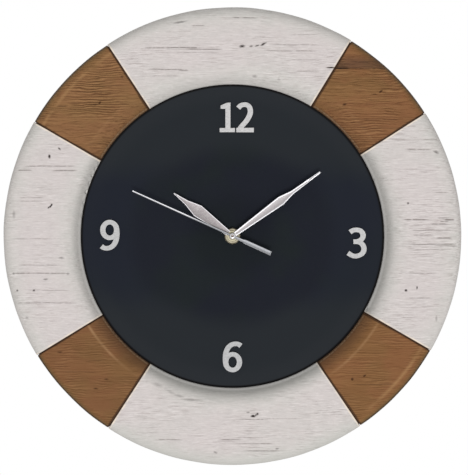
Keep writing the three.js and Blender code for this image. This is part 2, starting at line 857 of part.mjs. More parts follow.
function frontCoverGeometry() {
  const shell = cut(
    extruded(caseOutline(0), caseBack, 0, arcSteps),
    extruded(caseOutline(caseWall), caseBack - cutOverrun, coverInside, arcSteps),
    disc(bushingRadius + fitGap, coverInside - cutOverrun, cutOverrun),
  );
  const riserGap = seatGap + contactThickness + seatGap + seatGap;
  const dividerHalf = batteryLength / 2 + seatGap - riserGap / 2;
  const dividerBack = lidInside + seatGap;
  const ribRoot = coverInside + caseWall / 2;
  const divider = block(-dividerHalf, dividerHalf, bayTop, dividerTop, dividerBack, ribRoot);
  const pillarBack = plateFront + seatGap;
  const pillar = (left, up) => disc(pillarRadius, pillarBack, ribRoot, pinSides, left, up);
  const { x, y } = minuteArbor;
  const socketRadius = minuteArborRadius + fitGap;
  const bossBack = hourWheelFront + leafOverrun + runningGap;
  const boss = disc(socketRadius + bossWall, bossBack, ribRoot, roundSides, x, y);
  const whole = joined(
    shell,
    divider,
    pillar(-pillarX, pillarTop),
    pillar(-pillarX, pillarBottom),
    pillar(pillarX, pillarTop),
    pillar(pillarX * lowPillarShare, pillarBottom),
    boss,
  );
  return cut(whole, disc(socketRadius, bossBack - cutOverrun, coverInside, pinSides, x, y));
}

function backCoverGeometry() {
  const left = -innerHalf + seatGap;
  const right = innerHalf - seatGap;
  const top = chamberTop - seatGap;
  const corner = caseCorner - caseWall;
  const outline = roundedRectangle(left, right, bayTop, top, corner);
  const plate = extruded(outline, caseBack, lidInside, arcSteps);
  const { x, y } = minuteArbor;
  const cup = disc(knobCupRadius, caseBack, bossFront, roundSides, x, y);
  const bearings = [{ x: 0, y: 0 }, thirdArbor, intermediateArbor, rotorArbor];
  const bossRadius = pivotRadius + fitGap + bossWall;
  const lidRoot = lidInside - lidThickness / 2;
  const bosses = bearings.map((at) => disc(bossRadius, lidRoot, bossFront, pinSides, at.x, at.y));
  const corners = [
    [-pillarX, pillarTop],
    [-pillarX, pillarBottom],
    [pillarX, pillarTop],
  ];
  const legFront = plateBack - seatGap;
  const legs = corners.map((at) => disc(pillarRadius, lidRoot, legFront, pinSides, ...at));
  const holeRadius = pivotRadius + fitGap;
  const holeFront = bossFront + cutOverrun;
  const holes = bearings.map((at) => disc(holeRadius, lidInside, holeFront, pinSides, at.x, at.y));
  const floor = bossFront - bossWall;
  const well = disc(knobWellRadius, caseBack - cutOverrun, floor, roundSides, x, y);
  const arborHole = disc(minuteArborRadius + fitGap, caseBack, holeFront, pinSides, x, y);
  return cut(joined(plate, cup, ...bosses, ...legs), well, arborHole, ...holes);
}

function middlePlateGeometry() {
  const half = innerHalf - seatGap;
  const bottom = dividerTop + seatGap;
  const top = chamberTop - seatGap;
  const outline = roundedRectangle(-half, half, bottom, top, caseCorner - caseWall);
  const plate = extruded(outline, plateBack, plateFront, arcSteps);
  const low = plateBack - cutOverrun;
  const high = plateFront + cutOverrun;
  const window = block(
    coilX - bobbinRadius - layerGap,
    half + cutOverrun,
    chamberMiddle - bobbinHalf - layerGap,
    chamberMiddle + bobbinHalf + layerGap,
    low,
    high,
  );
  const bearings = [{ x: 0, y: 0 }, thirdArbor, intermediateArbor, rotorArbor];
  const holes = bearings.map((at) => disc(pivotRadius + fitGap, low, high, pinSides, at.x, at.y));
  const { x, y } = minuteArbor;
  const arborHole = disc(minuteArborRadius + fitGap, low, high, pinSides, x, y);
  const postBack = boardFront + seatGap;
  const postFront = plateBack + plateThickness / 2;
  const places = [boardLeft + crystalRadius + layerGap, coilX - coreWidth];
  const post = (left) => disc(crystalRadius, postBack, postFront, pinSides, left, pillarBottom);
  const posts = places.map(post);
  return joined(cut(plate, window, arborHole, ...holes), ...posts);
}

// Motor: a magnet rotor in the eye of a stator, whose arms end under the core of a coil
function statorGeometry() {
  const low = statorFront - statorThickness;
  const left = rotorArbor.x - statorBarWidth / 2;
  const right = rotorArbor.x + statorBarWidth / 2;
  const armRight = coilX + coreWidth / 2;
  const bottom = chamberMiddle - coreHalf;
  const top = chamberMiddle + coreHalf;
  const eye = rotorMagnetRadius + magnetGap;
  const { x, y } = rotorArbor;
  const body = joined(
    block(left, right, bottom, top, low, statorFront),
    block(left, armRight, bottom, bottom + statorArmWidth, low, statorFront),
    block(left, armRight, top - statorArmWidth, top, low, statorFront),
    disc(statorEyeRadius, low, statorFront, roundSides, x, y),
  );
  return cut(body, disc(eye, low - cutOverrun, statorFront + cutOverrun, roundSides, x, y));
}

function coreGeometry() {
  const left = coilX - coreWidth / 2;
  const bottom = chamberMiddle - coreHalf;
  const top = chamberMiddle + coreHalf;
  return block(left, left + coreWidth, bottom, top, coreFront - coreThickness, coreFront);
}

function lengthwiseDrum(radius, bottom, top, sides = roundSides) {
  const drum = new THREE.CylinderGeometry(radius, radius, top - bottom, sides);
  return drum.translate(coilX, (bottom + top) / 2, coilAxis);
}

function bobbinTubeRadius() {
  return Math.hypot(coreWidth / 2 + fitGap, coreThickness / 2 + fitGap) + bobbinWall;
}

function bobbinGeometry() {
  const bottom = chamberMiddle - bobbinHalf;
  const top = chamberMiddle + bobbinHalf;
  const half = coreWidth / 2 + fitGap;
  const front = coreFront + fitGap;
  const back = coreFront - coreThickness - fitGap;
  const body = joined(
    lengthwiseDrum(bobbinTubeRadius(), bottom, top),
    lengthwiseDrum(bobbinRadius, bottom, bottom + bobbinWall),
    lengthwiseDrum(bobbinRadius, top - bobbinWall, top),
  );
  const low = bottom - cutOverrun;
  const high = top + cutOverrun;
  return cut(body, block(coilX - half, coilX + half, low, high, back, front));
}

function windingGeometry() {
  const bottom = chamberMiddle - bobbinHalf + bobbinWall + fitGap;
  const top = chamberMiddle + bobbinHalf - bobbinWall - fitGap;
  const bore = lengthwiseDrum(bobbinTubeRadius() + fitGap, bottom - cutOverrun, top + cutOverrun);
  return cut(lengthwiseDrum(windingRadius, bottom, top), bore);
}

function rotorGeometry() {
  const pinionFront = intermediateFront + leafOverrun;
  const pinionBack = intermediateBack - leafOverrun;
  const magnetFront = statorFront;
  const parts = joined(
    disc(rotorMagnetRadius, magnetFront - rotorMagnetThickness, magnetFront),
    pinionAt(leaves, rotorModule, pinionBack, pinionFront, rotorAngle + 180),
    disc(pivotRadius, pivotBack, plateFront - seatGap, pinSides),
  );
  return parts.translate(rotorArbor.x, rotorArbor.y, 0);
}

function intermediateGeometry() {
  const pinionFront = secondsWheelFront + leafOverrun;
  const pinionBack = secondsWheelBack - leafOverrun;
  const parts = joined(
    wheelAt(intermediateTeeth, rotorModule, intermediateBack, intermediateFront, rotorAngle),
    pinionAt(leaves, secondsModule, pinionBack, pinionFront, intermediateAngle + 180),
    disc(pivotRadius, pivotBack, plateFront - seatGap, pinSides),
  );
  return parts.translate(intermediateArbor.x, intermediateArbor.y, 0);
}

function secondsWheelGeometry() {
  const pinionFront = thirdWheelFront + leafOverrun;
  const pinionBack = thirdWheelBack - leafOverrun;
  const arborFront = secondHandBack + capHeight / 2 - caseFront;
  return joined(
    wheelAt(secondsTeeth, secondsModule, secondsWheelBack, secondsWheelFront, intermediateAngle),
    pinionAt(leaves, thirdModule, pinionBack, pinionFront, thirdArborAngle),
    disc(secondsArborRadius, pivotBack, arborFront, pinSides),
  );
}

function thirdWheelGeometry() {
  const pinionFront = centreWheelFront + leafOverrun;
  const pinionBack = centreWheelBack - leafOverrun;
  const parts = joined(
    wheelAt(thirdTeeth, thirdModule, thirdWheelBack, thirdWheelFront, thirdArborAngle + 180),
    pinionAt(leaves, centreModule, pinionBack, pinionFront, thirdArborAngle + 180),
    disc(pivotRadius, pivotBack, pinionFront, pinSides),
  );
  return parts.translate(thirdArbor.x, thirdArbor.y, 0);
}

function centreWheelGeometry() {
  const low = centreWheelBack;
  const high = centreWheelFront;
  const wheel = wheelAt(centreTeeth, centreModule, low, high, thirdArborAngle);
  return cut(wheel, disc(minutePipeRadius + fitGap, low - cutOverrun, high + cutOverrun));
}

function minutePipeGeometry() {
  const pinionFront = minuteWheelFront + leafOverrun;
  const pinionBack = minuteWheelBack - leafOverrun;
  const front = minuteHandBack + handThickness + fitGap - caseFront;
  const body = joined(
    pinionAt(cannonLeaves, cannonModule, pinionBack, pinionFront, minuteArborAngle),
    disc(minutePipeRadius, minutePipeBack, front),
  );
  return cut(body, disc(minutePipeBore, minutePipeBack - cutOverrun, front + cutOverrun));
}

function minuteWheelGeometry() {
  const pinionFront = hourWheelFront + leafOverrun;
  const pinionBack = hourWheelBack - leafOverrun;
  const parts = joined(
    wheelAt(minuteTeeth, cannonModule, minuteWheelBack, minuteWheelFront, minuteArborAngle + 180),
    pinionAt(leaves, hourModule, pinionBack, pinionFront, minuteArborAngle + 180),
    disc(minuteArborRadius, caseBack, flangeFront, pinSides),
  );
  return parts.translate(minuteArbor.x, minuteArbor.y, 0);
}

function hourWheelGeometry() {
  const front = hourHandBack + handThickness + fitGap - caseFront;
  const body = joined(
    wheelAt(hourTeeth, hourModule, hourWheelBack, hourWheelFront, minuteArborAngle),
    disc(hourPipeRadius, hourWheelBack, front),
  );
  return cut(body, disc(hourPipeBore, hourWheelBack - cutOverrun, front + cutOverrun));
}

// The knob sits in a well of the back cover and has a fluted edge.
function knobGeometry() {
  const flutes = 12;
  const stepsPerFlute = 4;
  const points = [];
  for (let step = 0; step < flutes * stepsPerFlute; step += 1) {
    const turn = (2 * Math.PI * step) / (flutes * stepsPerFlute);
    const radius = knobRadius - (knobGrip / 2) * (1 - Math.cos(flutes * turn));
    points.push([radius * Math.cos(turn), radius * Math.sin(turn)]);
  }
  const back = caseBack - knobProud;
  const front = bossFront - bossWall - seatGap;
  const bore = disc(minuteArborRadius + fitGap, caseBack - fitGap, front + cutOverrun, pinSides);
  const knob = cut(extruded(polygon(points), back, front), bore);
  return knob.translate(minuteArbor.x, minuteArbor.y, 0);
}

// A cell lying across the bay, its raised end to the right.
function batteryGeometry() {
  const edge = batteryClearance;
  const profile = [
    [0, -batteryLength / 2],
    [batteryRadius - edge, -batteryLength / 2],
    [batteryRadius, edge - batteryLength / 2],
    [batteryRadius, batteryLength / 2 - batteryNubHeight - edge],
    [batteryRadius - edge, batteryLength / 2 - batteryNubHeight],
    [batteryNubRadius, batteryLength / 2 - batteryNubHeight],
    [batteryNubRadius, batteryLength / 2],
    [0, batteryLength / 2],
  ];
  return turned(profile).rotateY(Math.PI / 2).translate(0, bayMiddle, batteryAxis);
}

// A contact is a leaf at the battery's end, a riser past the divider and a foot under the board.
function contactGeometry(side) {
  const near = side * (batteryLength / 2 + seatGap);
  const far = near + side * contactThickness;
  const left = Math.min(near, far);
  const right = Math.max(near, far);
  const low = boardFront + seatGap;
  const high = statorFront;
  const leafBottom = bayMiddle - batteryRadius / 2;
  const leaf = block(left, right, leafBottom, bayTop, low, batteryAxis + batteryRadius / 2);
  const underStator = chamberMiddle - coreHalf - layerGap - contactThickness;
  const footY = side > 0 ? underStator : dividerTop + seatGap;
  const footEnd = side > 0 ? boardRight - pillarRadius : boardLeft + pillarRadius;
  const riser = block(left, right, leafBottom, footY + contactThickness, low, high);
  const footLeft = Math.min(footEnd, left);
  const footRight = Math.max(footEnd, right);
  const foot = block(footLeft, footRight, footY, footY + contactThickness, low, high);
  return joined(leaf, riser, foot);
}

function boardGeometry() {
  const back = boardFront - boardThickness;
  return block(boardLeft, boardRight, boardBottom, boardBottom + boardHeight, back, boardFront);
}

function crystalGeometry() {
  const drum = new THREE.CylinderGeometry(crystalRadius, crystalRadius, crystalLength, pinSides);
  const x = boardLeft + boardHeight + crystalLength / 2;
  const y = boardBottom + boardHeight - crystalRadius;
  return drum.rotateZ(Math.PI / 2).translate(x, y, boardFront + seatGap + crystalRadius);
}

function chipGeometry() {
  const x = boardLeft + boardHeight + crystalLength + 2 * chipRadius;
  const low = boardFront + seatGap;
  return disc(chipRadius, low, low + chipThickness, roundSides, x, boardBottom + boardHeight / 2);
}

function addMovement(parent) {
  const movement = new THREE.Group();
  movement.position.z = caseFront;
  parent.add(movement);
  piece(movement, "movement_front_cover", frontCoverGeometry(), blackPlastic);
  piece(movement, "movement_back_cover", backCoverGeometry(), blackPlastic);
  piece(movement, "middle_plate", middlePlateGeometry(), whitePlastic);
  piece(movement, "stator", statorGeometry(), steel);
  piece(movement, "coil_core", coreGeometry(), steel);
  piece(movement, "coil_bobbin", bobbinGeometry(), whitePlastic);
  piece(movement, "coil_winding", windingGeometry(), copperWire);
  piece(movement, "rotor", rotorGeometry(), magnetGrey);
  piece(movement, "intermediate_wheel", intermediateGeometry(), whitePlastic);
  piece(movement, "seconds_wheel", secondsWheelGeometry(), whitePlastic);
  piece(movement, "third_wheel", thirdWheelGeometry(), whitePlastic);
  piece(movement, "centre_wheel", centreWheelGeometry(), whitePlastic);
  piece(movement, "minute_pipe", minutePipeGeometry(), brass);
  piece(movement, "minute_wheel", minuteWheelGeometry(), whitePlastic);
  piece(movement, "hour_wheel", hourWheelGeometry(), whitePlastic);
  piece(movement, "setting_knob", knobGeometry(), whitePlastic);
  piece(movement, "battery", batteryGeometry(), batteryJacket);
  piece(movement, "contact_positive", contactGeometry(1), zincPlate);
  piece(movement, "contact_negative", contactGeometry(-1), zincPlate);
  piece(movement, "circuit_board", boardGeometry(), boardGreen);
  piece(movement, "quartz_crystal", crystalGeometry(), zincPlate);
  piece(movement, "clock_chip", chipGeometry(), chipBlack);
}

// Keyhole hanger, let into the back of the top segment
function hangerPlateGeometry() {
  const low = -cutOverrun;
  const high = hangerThickness + cutOverrun;
  const mouth = hangerMiddle - slotTravel / 2;
  const end = hangerMiddle + slotTravel / 2;
  const plate = extruded(hangerOutline(0), 0, hangerThickness, arcSteps);
  const countersinks = [-1, 1].map((side) => countersink(side, fitGap));
  return cut(
    plate,
    disc(keyholeRadius, low, high, roundSides, 0, mouth),
    block(-slotWidth / 2, slotWidth / 2, mouth, end, low, high),
    disc(slotWidth / 2, low, high, roundSides, 0, end),
    ...countersinks,
  );
}

// A countersunk head with its flat face at the wall, and enough shank to pass the plate.
function countersink(side, clearance) {
  const cone = turned(
    [
      [0, -cutOverrun],
      [screwHeadRadius + clearance, -cutOverrun],
      [screwHeadRadius + clearance, 0],
      [screwShankRadius + clearance, hangerThickness],
      [screwShankRadius + clearance, hangerThickness + cutOverrun],
      [0, hangerThickness + cutOverrun],
    ],
    pinSides,
  );
  return cone.translate((side * hangerScrewSpacing) / 2, hangerMiddle, 0);
}

function hangerScrewGeometry() {
  return turned(
    [
      [0, 0],
      [screwHeadRadius, 0],
      [screwShankRadius, hangerThickness],
      [screwShankRadius, hangerScrewLength - screwShankRadius],
      [0, hangerScrewLength],
    ],
    pinSides,
  );
}

function addHanger(parent) {
  piece(parent, "hanger_plate", hangerPlateGeometry(), zincPlate);
  for (const [side, place] of [[-1, "left"], [1, "right"]]) {
    const screw = piece(parent, `hanger_screw_${place}`, hangerScrewGeometry(), steel);
    screw.position.set((side * hangerScrewSpacing) / 2, hangerMiddle, 0);
  }
}

function buildClock() {
  const clock = new THREE.Group();
  addRing(clock);
  addDial(clock);
  addDialScrews(clock);
  addNumerals(clock);
  addFixing(clock);
  addMovement(clock);
  addHands(clock);
  addHanger(clock);
  return clock;
}

// The origin is where the wall screw bears, at the top of the hanger's slot on the wall.
const hung = buildClock();
hung.rotation.x = Math.PI / 2;
hung.position.z = -slotTop;
const root = new THREE.Group();
root.name = "lifebuoy_wall_clock";
root.add(hung);

export default root;
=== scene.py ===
"""Lifebuoy wall clock: the looks of its pieces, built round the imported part.

Pieces are drawn in millimetres as seen from the front, with the hand axis in the middle:
x to the right, y up and h out of the wall. stand() turns them upright and into metres.
"""

import json
import math
from collections import namedtuple

import bmesh
import bpy
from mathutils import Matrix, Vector, noise


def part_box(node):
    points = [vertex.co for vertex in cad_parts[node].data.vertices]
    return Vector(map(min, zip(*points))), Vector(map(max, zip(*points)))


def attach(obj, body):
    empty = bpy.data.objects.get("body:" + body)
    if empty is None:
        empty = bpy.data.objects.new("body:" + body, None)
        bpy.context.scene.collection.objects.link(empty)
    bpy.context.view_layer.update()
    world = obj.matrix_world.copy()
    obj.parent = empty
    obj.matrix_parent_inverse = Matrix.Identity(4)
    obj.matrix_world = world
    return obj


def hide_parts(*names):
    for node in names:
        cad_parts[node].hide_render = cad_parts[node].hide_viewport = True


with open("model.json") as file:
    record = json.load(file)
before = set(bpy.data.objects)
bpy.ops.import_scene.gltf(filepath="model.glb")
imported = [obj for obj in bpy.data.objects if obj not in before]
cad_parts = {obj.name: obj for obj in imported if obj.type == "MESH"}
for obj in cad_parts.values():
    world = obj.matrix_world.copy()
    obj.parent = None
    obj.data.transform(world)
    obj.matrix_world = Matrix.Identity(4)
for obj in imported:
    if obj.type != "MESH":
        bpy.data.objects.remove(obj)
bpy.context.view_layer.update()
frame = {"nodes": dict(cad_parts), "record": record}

MM = 0.001

dial_low, dial_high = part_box("dial_plate")
AXIS_Z = (dial_low.z + dial_high.z) / 2

Box = namedtuple("Box", "left right bottom top back front")


def box_of(node):
    """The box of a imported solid, in millimetres from the hand axis and out of the wall."""
    low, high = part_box(node)
    bottom, top = (low.z - AXIS_Z) / MM, (high.z - AXIS_Z) / MM
    return Box(low.x / MM, high.x / MM, bottom, top, -high.y / MM, -low.y / MM)


# Section of the ring, in millimetres
RING_RADIUS = box_of("white_segment_right").right
RING_DEPTH = box_of("white_segment_right").front
DIAL_FRONT = box_of("dial_plate").front
OPENING_RADIUS = 126
REBATE_RADIUS = 137
SHOULDER = DIAL_FRONT + 0.3  # height of the step that the dial plate lies against
CREASE_RADIUS = 139.7  # where the flat front turns down towards the dial
BEVEL_DROP = 8
BEVEL_ANGLES = (12, 72)  # slope at the crease and at the lip, in degrees
EDGE_ROUND = (9, 7)  # across and down
BACK_ROUND = 0.9
BROWN_INSET = 0.3
GLUE_LINE = 0.4

# Seams, in degrees anticlockwise from the right: place, stain, first seam, second seam
SEGMENTS = (
    ("right", "white", -30, 32.6),
    ("upper_right", "brown", 32.6, 58.7),
    ("top", "white", 58.7, 123.2),
    ("upper_left", "brown", 123.2, 150),
    ("left", "white", 150, 211.4),
    ("lower_left", "brown", 211.4, 237.1),
    ("bottom", "white", 237.1, 304),
    ("lower_right", "brown", 304, 330),
)

# Hands, in degrees clockwise from twelve
HOUR_ANGLE = 306.2
MINUTE_ANGLE = 53.9
SECOND_ANGLE = 294.3
SECONDS_BACK = box_of("second_hand").back


def stand(x, y, h):
    return Vector((x * MM, -h * MM, AXIS_Z + y * MM))


def smooth_step(low, high, value):
    share = min(1, max(0, (value - low) / (high - low)))
    return share * share * (3 - 2 * share)


# Materials


class Signal:
    """A socket that carries a value, with the sums that the finishes use."""

    def __init__(self, nodes, socket):
        self.nodes = nodes
        self.socket = socket

    def __add__(self, other):
        return self.nodes.math("ADD", self, other)

    def __sub__(self, other):
        return self.nodes.math("SUBTRACT", self, other)

    def __rsub__(self, other):
        return self.nodes.math("SUBTRACT", other, self)

    def __mul__(self, other):
        return self.nodes.math("MULTIPLY", self, other)

    def __truediv__(self, other):
        return self.nodes.math("DIVIDE", self, other)

    __radd__ = __add__
    __rmul__ = __mul__

    def least(self, other):
        return self.nodes.math("MINIMUM", self, other)

    def most(self, other):
        return self.nodes.math("MAXIMUM", self, other)

    def size(self):
        return self.nodes.math("ABSOLUTE", self)

    def sine(self):
        return self.nodes.math("SINE", self)

    def hypot(self, other):
        return self.nodes.math("SQRT", self * self + other * other)

    def near(self, middle, reach):
        """1 at the middle, falling evenly to 0 at that reach on either side."""
        return (1 - (self - middle).size() / reach).most(0)

    def step(self, low, high):
        """0 below low, 1 above high and smooth between them; falls where high is the smaller."""
        settings = {"interpolation_type": "SMOOTHSTEP"}
        start, end = (0, 1) if low < high else (1, 0)
        inputs = [self, min(low, high), max(low, high), start, end]
        return self.nodes.node("ShaderNodeMapRange", settings, dict(enumerate(inputs)))

    def coated(self, share, colour):
        """This colour with that share of another over it."""
        return self.nodes.mix(share, self, colour)


class Nodes:
    """A tree of shader nodes."""

    def __init__(self, tree):
        self.tree = tree

    def feed(self, socket, value):
        if isinstance(value, Signal):
            self.tree.links.new(value.socket, socket)
        else:
            socket.default_value = value

    def node(self, kind, settings, inputs, output=0):
        made = self.tree.nodes.new(kind)
        for name, value in settings.items():
            setattr(made, name, value)
        for name, value in inputs.items():
            self.feed(made.inputs[name], value)
        return Signal(self, made.outputs[output])

    def math(self, operation, *values):
        return self.node("ShaderNodeMath", {"operation": operation}, dict(enumerate(values)))

    def mix(self, share, first, second):
        """A colour between two, each a colour in sRGB numbers or a signal."""
        ends = [c if isinstance(c, Signal) else (*linear(c), 1) for c in (first, second)]
        inputs = {0: share, 6: ends[0], 7: ends[1]}
        return self.node("ShaderNodeMix", {"data_type": "RGBA"}, inputs, output=2)

    def ray(self, kind):
        """1 for a ray of that kind, such as one that comes from the camera."""
        return self.node("ShaderNodeLightPath", {}, {}, output=f"Is {kind} Ray")


class Look(Nodes):
    """One material: its shader and the nodes that make what varies over the surface."""

    def __init__(self, name, colour, roughness, metallic=0, specular=0.5):
        self.material = bpy.data.materials.new(name)
        self.material.use_nodes = True
        super().__init__(self.material.node_tree)
        self.shader = self.tree.nodes["Principled BSDF"]
        self.set("Base Color", (*linear(colour), 1))
        self.set("Roughness", roughness)
        self.set("Metallic", metallic)
        self.set("Specular IOR Level", specular)

    def set(self, socket, value):
        self.feed(self.shader.inputs[socket], value)

    def place(self):
        """Where a point lies in millimetres: x to the right, y up and h out of the wall."""
        point = self.node("ShaderNodeTexCoord", {}, {}, output="Object")
        axis = {0: point, 1: (0, 0, AXIS_Z)}
        centred = self.node("ShaderNodeVectorMath", {"operation": "SUBTRACT"}, axis)
        metres = {0: centred, "Scale": 1 / MM}
        scaled = self.node("ShaderNodeVectorMath", {"operation": "SCALE"}, metres)
        x, depth, y = (
            self.node("ShaderNodeSeparateXYZ", {}, {0: scaled}, output=name) for name in "XYZ"
        )
        return x, y, 0 - depth

    def noise(self, x, y, h, detail=3, roughness=0.5):
        point = self.node("ShaderNodeCombineXYZ", {}, {0: x, 1: y, 2: h})
        inputs = {"Vector": point, "Scale": 1, "Detail": detail, "Roughness": roughness}
        return self.node("ShaderNodeTexNoise", {}, inputs)

    def bump(self, height, depth):
        """Relief of that depth in millimetres."""
        inputs = {"Height": height, "Distance": depth * MM, "Strength": 1}
        self.set("Normal", self.node("ShaderNodeBump", {}, inputs))

    def attribute(self, name):
        return self.node("ShaderNodeAttribute", {"attribute_name": name}, {}, output="Fac")

    def finished(self, colour, roughness, height, depth):
        self.set("Base Color", colour)
        self.set("Roughness", roughness)
        self.bump(height, depth)
        return self.material


def linear(colour):
    """sRGB numbers from 0 to 255 as linear shares."""
    shares = [value / 255 for value in colour]
    return [v / 12.92 if v <= 0.04045 else ((v + 0.055) / 1.055) ** 2.4 for v in shares]


# Marks in the wood, in millimetres from the hand axis

RIPPLE_PITCH = 2.1  # from one furrow of the stain's brush to the next
# Scratches: left end, right end, height, half width, strength
WHITE_SCRATCHES = (
    (-74.6, -24, 155.8, 0.5, 1), (-40, -7, 154.6, 0.5, 0.9),
    (-60, -10, 151.6, 0.4, 0.4), (-3.2, 22, 180.7, 0.5, 1),
    (-34.4, -22.1, 174.2, 0.6, 0.7), (-71.5, -37, 137.9, 0.6, 0.8),
    (-45, -36, 137.3, 1, 0.8), (-70, -42, 132.6, 0.7, 0.45), (45, 73, 166.6, 0.4, 0.5),
    (30, 73, 158.2, 0.5, 0.55), (26, 71, 153.2, 0.5, 0.75), (45, 73, 145.9, 0.4, 0.5),
    (50, 74, 136.7, 0.6, 0.6), (76.5, 91.5, 139.2, 0.6, 1.6),
    (-173.9, -128.4, 57.9, 0.8, 0.7), (-178.9, -165, 54.4, 0.9, 0.8),
    (-150, -127.4, 54.2, 0.8, 0.9), (-177, -155, 31.9, 0.6, 0.5),
    (-179, -156, 29, 0.6, 0.5), (-183, -146, -2.2, 0.5, 0.5),
    (-178, -141, -24, 0.5, 0.5), (-183.5, -134, -30.7, 0.7, 0.75),
    (-171, -132, -44.6, 0.5, 0.45), (-181, -128, -55, 0.5, 0.7),
    (142, 166, 71.9, 0.9, 0.75), (156, 172, 80, 0.7, 0.45), (166, 180, 36.1, 0.7, 0.55),
    (139.8, 163, 13.7, 0.7, 1.1), (175, 184, 13.6, 0.8, 1.3),
    (169, 179, 15.1, 0.5, 0.7), (171, 179, 12.1, 0.5, 0.9), (162, 179, 10, 0.6, 1),
    (148, 159, 9.4, 0.4, 0.5), (146, 184, 4.9, 0.5, 0.6), (147, 167, 1.2, 0.5, 0.7),
    (168, 182, -1.4, 0.8, 1), (146, 182, -6.5, 0.5, 0.6), (148, 180, -11, 0.5, 0.5),
    (142, 170, -30.6, 0.6, 0.6), (143, 166, -51, 0.6, 0.6),
    (-64.5, -40, -168, 0.6, 0.7), (-11, 9, -168.2, 0.6, 0.7), (2, 36, -171.6, 0.6, 0.6),
    (8, 40, -177.4, 0.7, 0.7), (4, 30, -151.3, 0.5, 0.7), (24, 60, -150.6, 0.4, 0.4),
)
BROWN_SCRATCHES = (
    (74, 99, 138.9, 0.9, 1.9), (86, 132, 138.7, 1.1, 0.7),
    (-146, -136, 107.6, 0.5, 0.8), (-128, -96, 119, 0.5, 0.6),
    (-112, -84, 124, 0.5, 0.5), (-122, -106, -103, 0.5, 0.5),
    (-140, -110, -112.4, 0.5, 0.5), (96, 140, 96.5, 0.5, 0.5),
    (104, 146, 89.6, 0.5, 0.5), (98, 136, -122.5, 0.5, 0.4),
)
# Knots and short cracks: x, y, half length, half height, slant, strength
WHITE_CRACKS = (
    (81.8, 139.3, 3.4, 0.6, 0, 1.2), (8, 157.1, 2.5, 1.2, -0.1, 1.2),
    (15.4, 156.9, 1.6, 0.7, -0.1, 0.8), (20.4, 157.5, 1.9, 0.7, -0.2, 1),
    (25.6, 158.8, 2.6, 0.9, -0.5, 1.1), (18.3, 132.2, 2.2, 1.2, 0, 0.45),
    (38.3, 129.5, 1.6, 1, 0, 0.3), (-43, 177, 6, 0.8, -0.18, 0.6),
    (-151.3, 65.9, 1, 1.7, 0.2, 1.3), (-143, 72.3, 1.3, 1, 0.6, 0.9),
    (-149.5, 25.8, 0.8, 1.2, -0.8, 1.4), (-150.5, 24.5, 1, 0.9, -0.4, 1.4),
    (-151.9, 23.6, 0.9, 0.8, -0.4, 1.1), (-180.7, 18, 1.4, 3.6, 0, 0.4),
    (-177.9, -44.9, 0.9, 0.9, 0, 0.8), (-164.1, -44.9, 1, 0.9, 0, 1),
    (-154.5, -35.6, 2, 0.9, 0, 0.6), (-141.5, -18, 2.6, 1, 0, 0.5),
    (-136, -31, 1.4, 0.9, 0, 0.45), (-181, -31, 1.2, 0.9, 0, 0.45),
    (145.2, 27.3, 1, 1, 0, 1), (143.4, -44.9, 1.2, 1, 0, 1.2),
    (152.6, -42.4, 0.6, 1.3, 0, 1), (168.3, 69.5, 2.6, 1.3, 0.3, 0.7),
    (-62, -122.8, 4.5, 1.8, 0.3, 0.27), (-51, -128.8, 5, 1.6, 0.5, 0.25),
    (-44.5, -131.8, 4.5, 1.1, 0.25, 0.33), (-34, -135.3, 8, 1.2, 0.08, 0.42),
    (12.9, -145.5, 1.7, 0.6, 0, 0.6), (17, -148.8, 2, 0.9, 0, 1.4),
    (19.4, -147.9, 0.9, 0.9, -0.6, 1), (20.7, -147, 0.9, 1, 0, 1.2),
    (37, -175.6, 1.6, 0.8, 0, 0.6), (-14, -178.6, 1.8, 1, 0.2, 0.5),
    (168.6, -68, 1, 2.6, 0, 0.4), (-170, -67.4, 1.6, 1.3, 0, 0.4),
)
BROWN_KNOTS = (
    (122.6, 119.6, 1.5, 1, -0.5, 1.3), (117.5, 117.2, 3, 0.5, 0.1, 0.8),
    (92.7, 109, 1.7, 1.1, -0.3, 1.3), (-109.7, 110.3, 1.2, 1.2, -0.4, 1.2),
    (-113.5, 108.7, 3, 0.5, 0, 0.8), (-91.4, 131.9, 1.4, 0.9, 0, 0.8),
    (-142.8, -95.9, 2.4, 0.6, 0, 1), (-104.3, -118.2, 1.7, 0.8, 0.1, 0.8),
    (-112.9, -126, 2.2, 0.6, 0.1, 1), (99, -118.2, 1.1, 1.1, 0, 1.5),
    (109.2, -115.3, 1.2, 0.8, -0.3, 1.4),
)


def scratches(x, y, table):
    """How strongly the wood is scratched: the strongest of a table's marks at each place."""
    total = None
    for left, right, height, half, strength in table:
        ends = (x - left).least(right - x) / min(6, (right - left) / 5)
        mark = y.near(height, half) * ends.most(0).least(1) * strength
        total = mark if total is None else total.most(mark)
    return total


def spots(x, y, table):
    total = None
    for middle, height, half_x, half_y, slant, strength in table:
        along = (x - middle) / half_x
        across = (y - height + (x - middle) * slant) / half_y
        mark = (1.25 - along.hypot(across)).most(0).least(1) * strength
        total = mark if total is None else total.most(mark)
    return total


def bare_pine(look, x, y, h):
    rings = look.noise(x / 70, y / 2.4, h / 2.4, detail=4, roughness=0.6)
    fine = look.noise(x / 14, y / 0.5, h / 0.5, detail=2)
    wood = look.mix(rings.step(0.35, 0.7), (206, 172, 124), (184, 142, 92))
    return wood.coated(fine.step(0.5, 0.8) * 0.5, (150, 112, 70))


def left_bare(radius, h):
    """The back of the ring and the rebate behind the dial, which get no finish."""
    rebate = radius.step(REBATE_RADIUS + 0.4, REBATE_RADIUS + 0.1) * h.step(24, 23)
    return h.step(1.2, 0.4).most(rebate)


def brushed_side(look, x, y, h, radius):
    """Where the ring's outer side is, and the brush marks that run round it."""
    side = radius.step(RING_RADIUS - 2.2, RING_RADIUS - 0.9) * h.step(30, 24)
    return side, look.noise(x / 26, y / 26, h / 0.9, detail=3, roughness=0.6)


